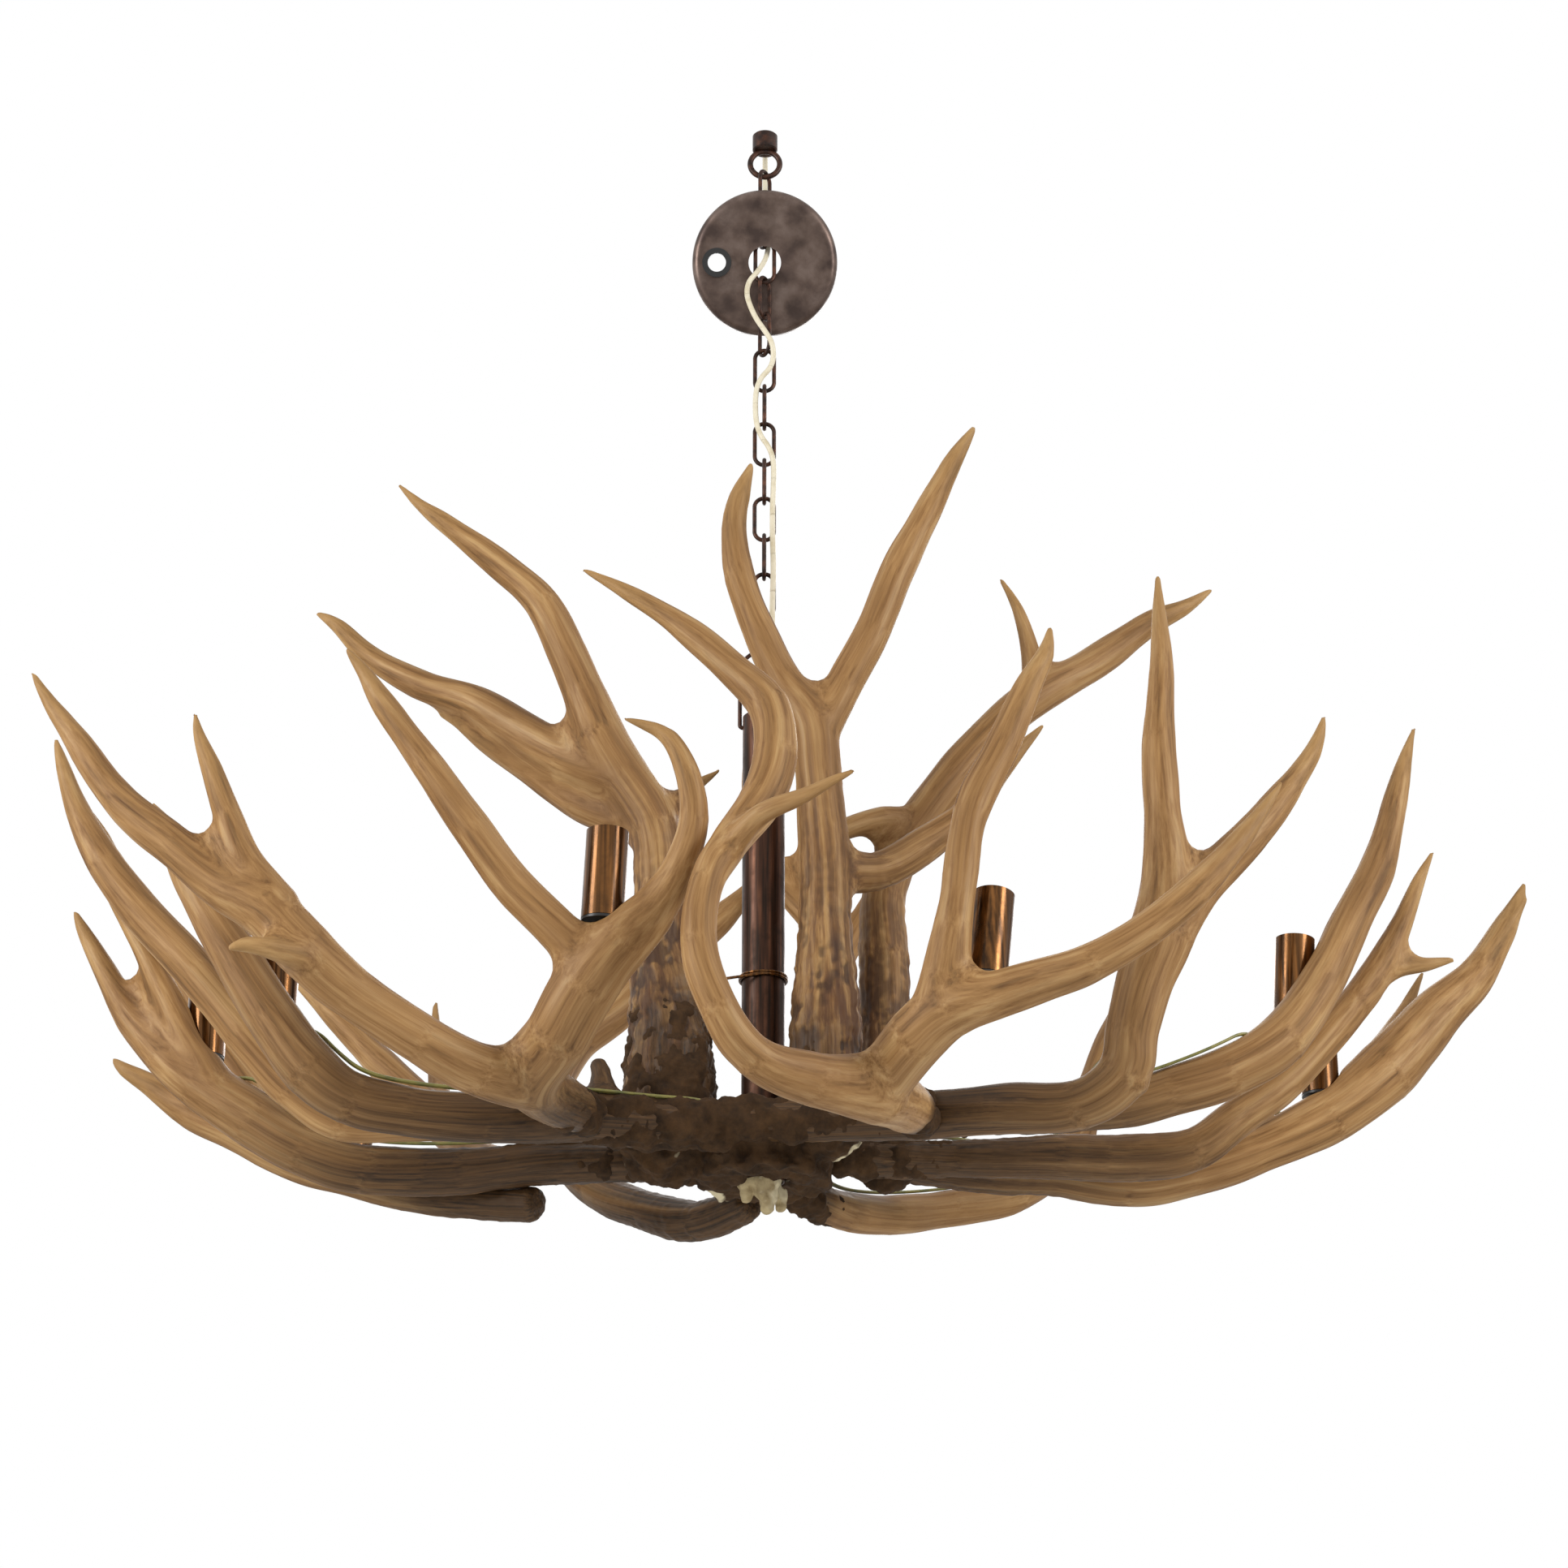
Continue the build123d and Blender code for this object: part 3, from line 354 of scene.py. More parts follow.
# Each antler's limbs, its beam first: points (x, y, z, thickness) in mm from the hub
antlerLimbs = {
    "antler_front_right": [
        [(120, -112, 5, 36), (85, -215, -10, 51), (35, -275, -20, 39), (-5, -310, -15, 33),
         (-30, -330, 15, 30), (-45, -330, 65, 28), (-40, -320, 115, 27), (-25, -305, 150, 29),
         (0, -285, 195, 34), (10, -275, 235, 35), (5, -265, 280, 33), (-25, -260, 315, 27),
         (-60, -255, 350, 22), (-100, -250, 380, 14), (-140, -245, 405, 4)],
        [(-25, -310, 145, 22), (0, -330, 165, 17), (30, -340, 175, 13), (55, -350, 185, 8),
         (70, -355, 190, 3)],
        [(90, -225, -5, 43), (115, -268, 15, 46), (140, -290, 30, 45), (172, -304, 34, 37),
         (205, -315, 42, 32), (240, -330, 50, 29), (280, -330, 75, 28), (315, -330, 105, 25),
         (350, -325, 145, 18), (385, -320, 195, 4)],
        [(125, -278, 20, 39), (134, -296, 50, 36), (140, -304, 85, 30), (145, -304, 115, 26),
         (155, -295, 180, 28), (180, -290, 235, 27), (200, -285, 285, 22), (215, -285, 315, 14),
         (220, -280, 340, 4)],
    ],
    "antler_front_left": [
        [(-140, -98, 10, 36), (-172, -195, 5, 50), (-150, -245, 25, 50), (-130, -265, 55, 50),
         (-105, -275, 85, 47), (-80, -280, 110, 35), (-60, -290, 140, 26), (-50, -295, 175, 23),
         (-55, -300, 210, 20), (-70, -300, 240, 15), (-90, -300, 250, 8), (-105, -300, 255, 3)],
        [(-125, -270, 70, 37), (-150, -275, 95, 34), (-185, -280, 130, 32), (-215, -290, 170, 30),
         (-250, -295, 220, 26), (-285, -295, 270, 20), (-300, -295, 295, 12), (-315, -295, 315, 4)],
        [(-172, -195, 5, 48), (-210, -235, 0, 41), (-250, -260, 15, 37), (-300, -275, 45, 39),
         (-335, -285, 75, 45), (-365, -290, 105, 41), (-400, -290, 125, 34), (-435, -290, 155, 32),
         (-480, -285, 195, 28), (-515, -280, 245, 20), (-540, -275, 280, 11), (-555, -275, 305, 4)],
        [(-355, -290, 105, 36), (-380, -295, 140, 26), (-395, -300, 175, 22), (-410, -300, 215, 16),
         (-420, -300, 240, 10), (-425, -300, 260, 4)],
        [(-335, -300, 65, 23), (-360, -320, 65, 16), (-375, -325, 65, 12), (-385, -330, 60, 5)],
    ],
    "antler_right_1": [
        [(-22, -53, 18, 33), (45, -65, 15, 34), (115, -90, 10, 38), (185, -125, 5, 39),
         (240, -150, 0, 41), (275, -165, 20, 44), (280, -175, 50, 41), (290, -180, 85, 44),
         (305, -185, 125, 51), (310, -185, 170, 40), (310, -180, 230, 29), (310, -175, 290, 27),
         (315, -170, 355, 20), (315, -165, 400, 13), (315, -165, 440, 4)],
        [(305, -185, 125, 47), (340, -175, 170, 34), (380, -165, 215, 29), (410, -155, 255, 24),
         (435, -145, 295, 14), (445, -145, 325, 4)],
    ],
    "antler_right_2": [
        [(105, -52, 22, 30), (165, -48, 24, 32), (230, -55, 25, 34), (280, -55, 30, 37),
         (320, -60, 40, 39), (365, -60, 55, 42), (410, -55, 85, 42), (445, -45, 135, 37),
         (470, -35, 185, 34), (500, -25, 245, 29), (520, -15, 310, 20), (530, -10, 345, 12),
         (540, -5, 375, 4)],
        [(425, -45, 110, 32), (465, 0, 185, 24), (495, 35, 245, 20), (520, 65, 305, 14),
         (535, 85, 355, 4)],
    ],
    "antler_right_3": [
        [(40, 45, 20, 29), (100, 40, 15, 30), (155, 40, 15, 30), (235, 35, 15, 37),
         (300, 35, 15, 39),
         (345, 30, 20, 37), (380, 30, 45, 33), (425, 35, 80, 29), (465, 40, 125, 30),
         (500, 45, 170, 29), (525, 50, 215, 20), (545, 55, 260, 12), (560, 60, 290, 4)],
        [(485, 40, 150, 27), (515, 50, 180, 19), (545, 50, 185, 13), (570, 50, 190, 5)],
    ],
    "antler_right_4": [
        [(112, 100, 28, 29), (185, 120, 25, 29), (240, 125, 25, 31), (300, 130, 20, 36),
         (355, 130, 30, 39), (410, 130, 50, 39), (470, 130, 80, 47), (520, 135, 120, 54),
         (565, 140, 170, 45), (605, 140, 210, 33), (630, 135, 250, 22), (650, 135, 290, 5)],
        [(610, 135, 220, 25), (635, 130, 255, 12), (650, 130, 275, 4)],
        [(510, 145, 125, 31), (540, 180, 175, 19), (570, 205, 235, 4)],
    ],
    "antler_rear_right": [
        [(32, 66, -8, 26), (65, 115, -6, 33), (105, 165, 5, 34), (155, 215, 25, 32),
         (215, 260, 50, 31), (260, 300, 95, 31), (285, 330, 150, 32), (305, 350, 205, 31),
         (330, 360, 260, 29), (350, 365, 320, 28), (360, 365, 375, 25), (365, 360, 445, 19),
         (370, 355, 525, 14), (370, 350, 590, 5)],
        [(330, 360, 285, 25), (360, 375, 340, 21), (400, 385, 380, 18), (440, 390, 425, 12),
         (485, 395, 485, 5)],
        [(255, 295, 90, 25), (300, 320, 100, 19), (350, 335, 105, 13), (395, 340, 110, 4)],
    ],
    "antler_left_1": [
        [(-28, -51, 15, 32), (-90, -60, 15, 38), (-150, -75, 15, 42), (-215, -100, 5, 39),
         (-275, -120, 5, 39), (-315, -135, 10, 42), (-345, -145, 30, 45), (-375, -150, 70, 41),
         (-400, -150, 110, 39), (-425, -150, 150, 34), (-445, -150, 185, 29), (-465, -145, 225, 19),
         (-480, -145, 250, 4)],
        [(-125, -65, 25, 19), (-125, -65, 45, 17), (-130, -60, 65, 13)],
    ],
    "antler_left_2": [
        [(-150, -44, 28, 27), (-220, -32, 25, 28), (-280, -40, 20, 29), (-330, -45, 20, 33),
         (-370, -50, 45, 34), (-410, -55, 90, 35), (-450, -55, 140, 35), (-495, -50, 190, 34),
         (-530, -50, 235, 30), (-555, -45, 280, 21), (-570, -45, 320, 13), (-580, -40, 350, 4)],
        [(-455, -45, 150, 29), (-490, 0, 200, 21), (-530, 35, 255, 17), (-555, 60, 305, 11),
         (-575, 75, 340, 4)],
    ],
    "antler_left_3": [
        [(-35, 45, 10, 29), (-100, 35, 10, 31), (-170, 35, 10, 34), (-245, 40, 5, 38),
         (-320, 35, 5, 40), (-370, 30, 20, 43), (-410, 30, 45, 47), (-455, 30, 75, 42),
         (-485, 30, 100, 36), (-515, 35, 135, 29), (-540, 40, 175, 21), (-560, 40, 210, 12),
         (-570, 40, 230, 4)],
        [(-445, 25, 75, 33), (-470, 20, 115, 28), (-490, 15, 155, 22), (-515, 15, 200, 15),
         (-545, 20, 245, 4)],
    ],
    "antler_left_4": [
        [(-180, 47, -20, 30), (-225, 70, -10, 33), (-280, 90, 0, 30), (-335, 100, 15, 29),
         (-390, 110, 35, 31), (-435, 115, 60, 31), (-475, 120, 80, 28), (-510, 125, 105, 20),
         (-535, 125, 120, 12), (-545, 130, 130, 5)],
        [(-395, 110, 40, 27), (-430, 145, 105, 23), (-465, 165, 160, 21), (-500, 180, 215, 17),
         (-540, 185, 265, 4)],
    ],
    "antler_rear_left": [
        [(-8, 66, -14, 30), (-52, 112, -15, 35), (-95, 155, 5, 33), (-140, 210, 40, 35),
         (-175, 265, 95, 35), (-190, 320, 160, 35), (-170, 360, 220, 35), (-130, 385, 265, 34),
         (-100, 400, 320, 33), (-95, 410, 380, 26), (-105, 410, 435, 21), (-125, 410, 490, 15),
         (-150, 410, 530, 5)],
        [(-175, 355, 210, 28), (-210, 380, 220, 22), (-260, 390, 215, 18), (-305, 390, 235, 4)],
        [(-105, 400, 305, 30), (-70, 395, 330, 33), (-40, 390, 355, 27), (-10, 380, 385, 13),
         (-5, 375, 415, 4)],
    ],
    "antler_rear_low_left": [
        [(-150, 50, 28, 30), (-190, 120, 35, 33), (-230, 200, 60, 33), (-265, 270, 100, 33),
         (-300, 320, 150, 31), (-345, 350, 200, 30), (-390, 370, 250, 22), (-440, 380, 300, 5)],
        [(-280, 290, 120, 28), (-290, 350, 165, 22), (-300, 400, 225, 16), (-305, 430, 285, 5)],
        [(-240, 220, 70, 28), (-290, 280, 70, 20), (-345, 330, 85, 12), (-385, 360, 105, 4)],
    ],
    "antler_rear_centre": [
        [(30, 52, 33, 30), (30, 140, 32, 34), (35, 210, 50, 34), (40, 280, 95, 34),
         (45, 330, 160, 32),
         (50, 350, 230, 30), (50, 358, 300, 28), (45, 355, 370, 27), (38, 350, 440, 20),
         (30, 345, 500, 5)],
        [(50, 355, 265, 26), (85, 365, 335, 24), (120, 370, 400, 20), (165, 372, 460, 14),
         (205, 372, 520, 4)],
        [(47, 352, 330, 24), (10, 355, 380, 20), (-15, 355, 450, 13), (-20, 352, 500, 4)],
    ],
    "antler_upright_front": [
        [(50, -35, 22, 54), (50, -35, 95, 57), (50, -35, 145, 49), (50, -35, 195, 42),
         (50, -35, 250, 41), (45, -35, 315, 38), (40, -35, 365, 40), (15, -35, 405, 32),
         (-5, -40, 450, 28), (-20, -45, 495, 26), (-25, -45, 540, 22), (-20, -45, 570, 18),
         (-10, -45, 600, 5)],
        [(45, -35, 355, 35), (65, -30, 400, 31), (90, -30, 450, 31), (110, -25, 505, 30),
         (135, -20, 560, 26), (160, -15, 615, 18), (180, -15, 650, 5)],
        [(55, -30, 235, 33), (95, -10, 245, 32), (130, 0, 270, 31), (170, 10, 305, 25),
         (200, 20, 350, 18), (235, 25, 390, 4)],
    ],
    "antler_upright_left": [
        [(-75, 0, 22, 73), (-75, 0, 95, 68), (-80, 0, 135, 56), (-85, 0, 180, 43),
         (-85, 0, 235, 41),
         (-90, -5, 285, 41), (-115, -5, 330, 43), (-135, -10, 365, 42), (-150, -10, 405, 36),
         (-165, -15, 440, 34), (-185, -20, 480, 31), (-220, -20, 515, 26), (-265, -25, 550, 18),
         (-290, -25, 570, 10), (-310, -25, 590, 4)],
        [(-120, -5, 330, 39), (-165, 10, 355, 38), (-205, 25, 385, 35), (-245, 35, 415, 30),
         (-290, 45, 435, 26), (-335, 55, 465, 21), (-365, 55, 495, 13), (-385, 60, 510, 4)],
        [(-100, 5, 290, 36), (-150, 25, 320, 35), (-190, 40, 355, 31), (-235, 50, 390, 26),
         (-260, 55, 410, 18), (-275, 55, 415, 9)],
        [(-85, 0, 295, 21), (-60, 10, 325, 13), (-35, 15, 345, 3)],
    ],
    "antler_upright_rear": [
        [(100, 75, 22, 42), (100, 75, 150, 44), (100, 75, 200, 42), (100, 85, 255, 38),
         (115, 90, 300, 37), (145, 95, 350, 36), (190, 105, 410, 36), (230, 110, 450, 35),
         (285, 125, 490, 31), (335, 130, 530, 24), (370, 135, 550, 14), (395, 140, 570, 4)],
        [(235, 110, 455, 25), (230, 110, 500, 17), (220, 105, 535, 11), (205, 105, 565, 4)],
        [(125, 90, 325, 27), (100, 75, 325, 23), (65, 65, 310, 18), (40, 60, 290, 10),
         (30, 60, 285, 4)],
    ],
}

# How rough the butt is, how far the beads reach up from it, and how far the darkening reaches
# from the hub, in mm: the butts' bark-brown and painted shade where the beams crowd round the hub.
# The uprights stand on their burrs; the two front antlers are nearly clean of it
usualButt = {"rough": 0.7, "beads": 210, "barkAndShade": 330}
butts = {
    "antler_upright_front": {"rough": 1.1, "beads": 330, "barkAndShade": 70},
    "antler_upright_left": {"rough": 1.3, "beads": 330, "barkAndShade": 120},
    "antler_upright_rear": {"rough": 1.1, "beads": 300, "barkAndShade": 100},
    "antler_front_right": {"rough": 0.1, "beads": 60, "barkAndShade": 90},
    "antler_front_left": {"rough": 0.3, "beads": 120, "barkAndShade": 275},
    "antler_left_1": {"rough": 0.7, "beads": 210, "barkAndShade": 420},
    "antler_left_2": {"rough": 0.5, "beads": 160, "barkAndShade": 250},
    "antler_left_3": {"rough": 0.8, "beads": 300, "barkAndShade": 430},
    "antler_left_4": {"rough": 0.5, "beads": 160, "barkAndShade": 380},
    "antler_right_1": {"rough": 0.7, "beads": 200, "barkAndShade": 330},
    "antler_right_3": {"rough": 0.8, "beads": 300, "barkAndShade": 400},
    "antler_rear_low_left": {"rough": 0.5, "beads": 90, "barkAndShade": 25},
    "antler_rear_right": {"rough": 0.5, "beads": 90, "barkAndShade": 60},
}


# Rows along a limb: place on its straight run (3), place on the smooth line (3), radius, length
def limbSamples(points, steps=8):
    line = [Vector(point[:3]) for point in points]
    ends = [2 * line[0] - line[1]] + line + [2 * line[-1] - line[-2]]
    rows = []
    run = 0.0
    for index in range(len(line) - 1):
        before, start, end, after = ends[index:index + 4]
        for step in range(steps):
            t = step / steps
            straight = start.lerp(end, t)
            smooth = 0.5 * (2 * start + (end - before) * t
                            + (2 * before - 5 * start + 4 * end - after) * t * t
                            + (3 * start - before - 3 * end + after) * t ** 3)
            girth = points[index][3] * (1 - t) + points[index + 1][3] * t
            rows.append((*straight, *smooth, girth / 2, run + (end - start).length * t))
        run += (line[index + 1] - line[index]).length
    rows.append((*line[-1], *line[-1], points[-1][3] / 2, run))
    return np.array(rows)


# Draws each vertex towards the middle of its neighbours
def relax(places, edges, weight, rounds):
    count = np.zeros(len(places))
    np.add.at(count, edges[:, 0], 1)
    np.add.at(count, edges[:, 1], 1)
    count = np.maximum(count, 1)[:, None]
    for _ in range(rounds):
        total = np.zeros_like(places)
        for axis in range(places.shape[1]):
            total[:, axis] = (
                np.bincount(edges[:, 0], places[edges[:, 1], axis], len(places))
                + np.bincount(edges[:, 1], places[edges[:, 0], axis], len(places)))
        places = places + weight[:, None] * (total / count - places)
    return places


# An object with a closed skin of even quads over a mesh. With a web it is swelled, skinned and
# shrunk again, so that forks come out filled like grown ones
def remeshed(mesh, name, voxel, web=0.0):
    shape = bmesh.new()
    shape.from_mesh(mesh)
    bmesh.ops.remove_doubles(shape, verts=shape.verts, dist=1e-6)
    shape.to_mesh(mesh)
    shape.free()
    piece = link(bpy.data.objects.new(name, mesh))
    steps = [("REMESH", voxel)]
    if web:
        steps += [("DISPLACE", web), ("REMESH", voxel), ("DISPLACE", -web)]
    for kind, size in steps:
        modifier = piece.modifiers.new(kind.lower(), kind)
        if kind == "REMESH":
            modifier.mode = "VOXEL"
            modifier.voxel_size = size * millimetre
        else:
            modifier.mid_level = 0
            modifier.strength = size * millimetre
    skin = takeMesh(piece)
    skin.name = name
    return link(bpy.data.objects.new(name, skin))


def coordinates(mesh):
    places = np.empty(len(mesh.vertices) * 3, np.float32)
    mesh.vertices.foreach_get("co", places)
    edges = np.empty(len(mesh.edges) * 2, np.int32)
    mesh.edges.foreach_get("vertices", edges)
    return places.reshape(-1, 3).astype(float), edges.reshape(-1, 2)


def normals(mesh):
    directions = np.empty(len(mesh.vertices) * 3, np.float32)
    mesh.vertices.foreach_get("normal", directions)
    return directions.reshape(-1, 3).astype(float)


def writeBack(mesh, places):
    mesh.vertices.foreach_set("co", places.astype(np.float32).ravel())
    mesh.update()


def storeAttribute(mesh, name, values):
    kind, field = ("FLOAT_VECTOR", "vector") if values.ndim == 2 else ("FLOAT", "value")
    attribute = mesh.attributes.new(name, kind, "POINT")
    attribute.data.foreach_set(field, values.astype(np.float32).ravel())


# How each vertex lies to the limb whose surface is nearest: place across it (3), the limb's shift
# onto its smooth line (3), length from the butt, the limb's radius and length to its tip
def followLimbs(hubPlaces, limbs):
    best = np.full(len(hubPlaces), np.inf)
    fields = np.zeros((len(hubPlaces), 9))
    beamRows = limbSamples(limbs[0])
    batch = 20000              # vertices at a time, to spare memory
    for limb in limbs:
        rows = limbSamples(limb)
        fork = np.linalg.norm(beamRows[:, :3] - rows[0, :3], axis=1).argmin()
        startRun = beamRows[fork, 7]
        for first in range(0, len(hubPlaces), batch):
            part = slice(first, first + batch)
            gap = np.linalg.norm(hubPlaces[part, None, :] - rows[None, :, :3], axis=2)
            gap -= rows[None, :, 6]
            nearest = gap.argmin(axis=1)
            distance = gap[np.arange(len(nearest)), nearest]
            closer = distance < best[part]
            chosen = np.arange(len(hubPlaces))[part][closer]
            row = rows[nearest[closer]]
            best[chosen] = distance[closer]
            fields[chosen] = np.column_stack([
                hubPlaces[chosen] - row[:, :3], row[:, 3:6] - row[:, :3],
                startRun + row[:, 7], row[:, 6], rows[-1, 7] - row[:, 7]])
    return fields


def makeAntler(name, limbs, butt):
    look = antlerLook
    piece = remeshed(nodes[name].data.copy(), name.replace("antler_", "antlerBone_"),
                     look["voxel"], look["web"])
    mesh = piece.data
    places, edges = coordinates(mesh)
    hubPlaces = (places - [0, 0, hubZ]) / millimetre

    # Bends run smooth, and forks and cut ends are eased, but thin tips keep their shape
    fields = followLimbs(hubPlaces, limbs)
    soft = np.clip(fields[:, 7] / look["fullRelax"], look["tipRelax"], 1.0) * look["relaxShare"]
    fields = relax(fields, edges, np.full(len(places), look["relaxShare"]), look["followRounds"])
    across, shift, along, girth, toTip = np.split(fields, [3, 6, 7, 8], axis=1)
    along, girth, toTip = along[:, 0], girth[:, 0], toTip[:, 0]
    places = relax(places, edges, soft, look["relaxRounds"])
    atEnd = np.clip(look["endFull"] - along / look["endLength"], 0, 1) * look["relaxShare"]
    places = relax(places, edges, atEnd, look["endRounds"])
    places += shift * millimetre
    writeBack(mesh, places)

    # Grooves follow the beam, beads crowd round the butt, and the whole beam swells unevenly
    offset = Vector((random.uniform(-50, 50), random.uniform(-50, 50), random.uniform(-50, 50)))
    drift = np.outer(along / look["streakLength"], look["streakDrift"])
    grain = across / look["streakWidth"] + drift + np.array(offset)
    polish = np.clip(1 - toTip / look["tipReach"], 0, 1)
    rough = np.clip(1 - along / butt["beads"], 0, 1) ** 0.8 * butt["rough"]
    grooving = look["grooveDepth"] * (1 - look["grooveNearTip"] * polish)
    grooving = grooving * (1 + look["grooveNearBurr"] * rough)
    swelling = look["swell"] * np.minimum(1.0, girth / look["swellRadius"])
    move = np.zeros(len(places))
    for index, spot in enumerate(places / millimetre):
        spot = Vector(spot)
        streak = Vector(grain[index])
        groove = abs(noise.noise(streak * look["broadGroove"]))
        groove += 0.5 * abs(noise.noise(streak * look["narrowGroove"]))
        lift = noise.noise(spot / look["swellSize"] + offset) * swelling[index]
        lift += (groove - look["grooveLevel"]) * grooving[index]
        if rough[index] > 0.02:
            bead = noise.noise(spot / look["pearlSize"] + offset)
            crag = noise.noise(spot / look["cragSize"] - offset)
            lift += max(bead, look["pearlFloor"]) * look["pearlHeight"] * rough[index]
            lift += crag * look["crag"] * rough[index] ** 2
        move[index] = lift
    places += normals(mesh) * (move * millimetre)[:, None]
    writeBack(mesh, places)
    shadeSmooth(mesh)

    # What the material reads
    # The dark round the hub and up from each cut end is partly bark-brown, partly painted shade
    reach = np.linalg.norm(hubPlaces * [1, 1, look["barkAndShadeHeight"]], axis=1) - look["barkAndShadeCore"]
    cutEnd = look["barkAndShadeAtEnd"] - along / look["barkAndShadeFromEnd"]
    barkAndShade = np.clip(np.maximum(1 - reach / butt["barkAndShade"], cutEnd), 0, 1)
    storeAttribute(mesh, "grain", grain)
    storeAttribute(mesh, "polish", polish)
    storeAttribute(mesh, "rough", rough)
    storeAttribute(mesh, "barkAndShade", barkAndShade)
    storeAttribute(mesh, "relief", np.clip(move, -3, 3))
    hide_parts(name)
    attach(piece, "fixture")
    return piece


# Shed antler is bone, stained brown in streaks that run up the beam, and rubbed pale at the tips.
# It reflects little, a bit more where it is pale and rubbed
boneLook = {
    "streaks": {"Scale": 0.62, "Detail": 5.0, "Roughness": 0.6},     # on the grain, which counts
    "threads": {"Scale": 2.4, "Detail": 4.0, "Roughness": 0.6},      # in widths of a streak
    "patches": {"Scale": 0.2, "Detail": 7.0, "Roughness": 0.72},
    "clouds": {"Scale": patternScale(100), "Detail": 3.0, "Roughness": 0.55},
    "streakColours": [(0.3, "5A3C20"), (0.42, "8A6338"), (0.53, "A57C4D"), (0.66, "C09B69")],
    "threadColours": [(0.36, "6B4824"), (0.54, "B08A58")],
    "threadShare": 0.26,
    "cloudColour": "7A5630",
    "cloudRange": {"From Min": 0.42, "From Max": 0.7},
    "cloudShare": 0.45,
    "tipColour": "B8945F",
    "tipShare": 0.4,
    "furrowColour": "5C3D2B",      # between the ridges near a burr
    "furrowRange": {"From Min": 0.56, "From Max": 0.42},
    "furrowShare": 0.9,
    "hollowShadeColour": "3E291C",      # painted shade, purple-brown, in the hollows under the beads
    "hollowShadeRange": {"From Min": 0.5, "From Max": -0.6},
    # bark-brown and painted shade round the hub
    "barkAndShadeColours": [(0.32, "2B1D0F"), (0.62, "5A4025")],
    "barkAndShadeRange": {"From Min": 0.34, "From Max": 0.6, "To Min": 0.7, "To Max": 2.6},
    "gloss": {"From Min": 0.3, "From Max": 0.7, "To Min": 0.66, "To Max": 0.48},
    "specular": 0.3,
    "fineRelief": 0.5,             # mm
    "reliefStrength": 0.7,
}


def antlerMaterial():
    look = boneLook
    material, tree = newMaterial("shed antler bone")
    grain = addNode(tree, "Attribute", {"attribute_name": "grain"})["Vector"]
    polish, rough, barkAndShade, relief = (
        addNode(tree, "Attribute", {"attribute_name": name})["Fac"]
        for name in ("polish", "rough", "barkAndShade", "relief"))
    place = addNode(tree, "TexCoord")["Object"]
    streak = addNode(tree, "TexNoise", inputs={"Vector": grain, **look["streaks"]})["Fac"]
    thread = addNode(tree, "TexNoise", inputs={"Vector": grain, **look["threads"]})["Fac"]
    patch = addNode(tree, "TexNoise", inputs={"Vector": grain, **look["patches"]})["Fac"]
    cloud = addNode(tree, "TexNoise", inputs={"Vector": place, **look["clouds"]})["Fac"]

    # How much of each layer shows over the streaked bone
    clouded = addNode(tree, "MapRange", inputs={"Value": cloud, **look["cloudRange"]})["Result"]
    furrow = addNode(tree, "MapRange", inputs={"Value": streak, **look["furrowRange"]})["Result"]
    # Painted shade: darker where the skin sinks in between the beads
    hollowShade = addNode(tree, "MapRange", inputs={"Value": relief, **look["hollowShadeRange"]})["Result"]
    blotch = addNode(tree, "MapRange", inputs={"Value": patch, **look["barkAndShadeRange"]})["Result"]
    times = {"operation": "MULTIPLY", "use_clamp": True}
    cloudShare = addNode(tree, "Math", times, {0: clouded, 1: look["cloudShare"]})[0]
    tipShare = addNode(tree, "Math", times, {0: polish, 1: look["tipShare"]})[0]
    roughFurrow = addNode(tree, "Math", times, {0: rough, 1: furrow})[0]
    furrowShare = addNode(tree, "Math", times, {0: roughFurrow, 1: look["furrowShare"]})[0]
    hollowShadeShare = addNode(tree, "Math", times, {0: rough, 1: hollowShade})[0]
    # Patchy dark round the hub: bark-brown and painted shade
    barkAndShadeShare = addNode(tree, "Math", times, {0: barkAndShade, 1: blotch})[0]

    colour, threads, barkAndShadeColour = (
        addNode(tree, "ValToRGB", None, {"Fac": factor}, look[stops])["Color"]
        for factor, stops in (
            (streak, "streakColours"), (thread, "threadColours"), (thread, "barkAndShadeColours")))
    for share, layer in (
            (look["threadShare"], threads),
            (cloudShare, hexColour(look["cloudColour"])),
            (tipShare, hexColour(look["tipColour"])),
            (furrowShare, hexColour(look["furrowColour"])),
            (hollowShadeShare, hexColour(look["hollowShadeColour"])),
            (barkAndShadeShare, barkAndShadeColour)):
        colour = addNode(tree, "Mix", {"data_type": "RGBA"}, {0: share, 6: colour, 7: layer})[2]

    gloss = addNode(tree, "MapRange", inputs={"Value": streak, **look["gloss"]})["Result"]
    height = addNode(tree, "Math", {"operation": "ADD"}, {0: thread, 1: streak})[0]
    fineRelief = addNode(tree, "Bump", inputs={
        "Height": height, "Distance": look["fineRelief"] * millimetre,
        "Strength": look["reliefStrength"]})["Normal"]
    shader = addNode(tree, "BsdfPrincipled", inputs={
        "Base Color": colour, "Roughness": gloss, "Specular IOR Level": look["specular"],
        "Normal": fineRelief})
    addNode(tree, "OutputMaterial", inputs={"Surface": shader["BSDF"]})
    return material


antlerBone = antlerMaterial()
for name, limbs in antlerLimbs.items():
    setMaterial(makeAntler(name, limbs, butts.get(name, usualButt)), antlerBone)
print("antlers made")

hubLook = {
    "voxel": 2.0,              # mm
    "relaxRounds": 4,
    "crag": 6.0,               # mm, torn ridges
    "cragSize": 15.0,
    "grit": 2.0,               # mm, crumbs
    "gritSize": 4.5,
    "puttyDepth": 0.8,         # of the filler's relief
    "smearTaper": 1.9,         # a smear ends below the beam's skin
    "smearCurve": 1.5,
}

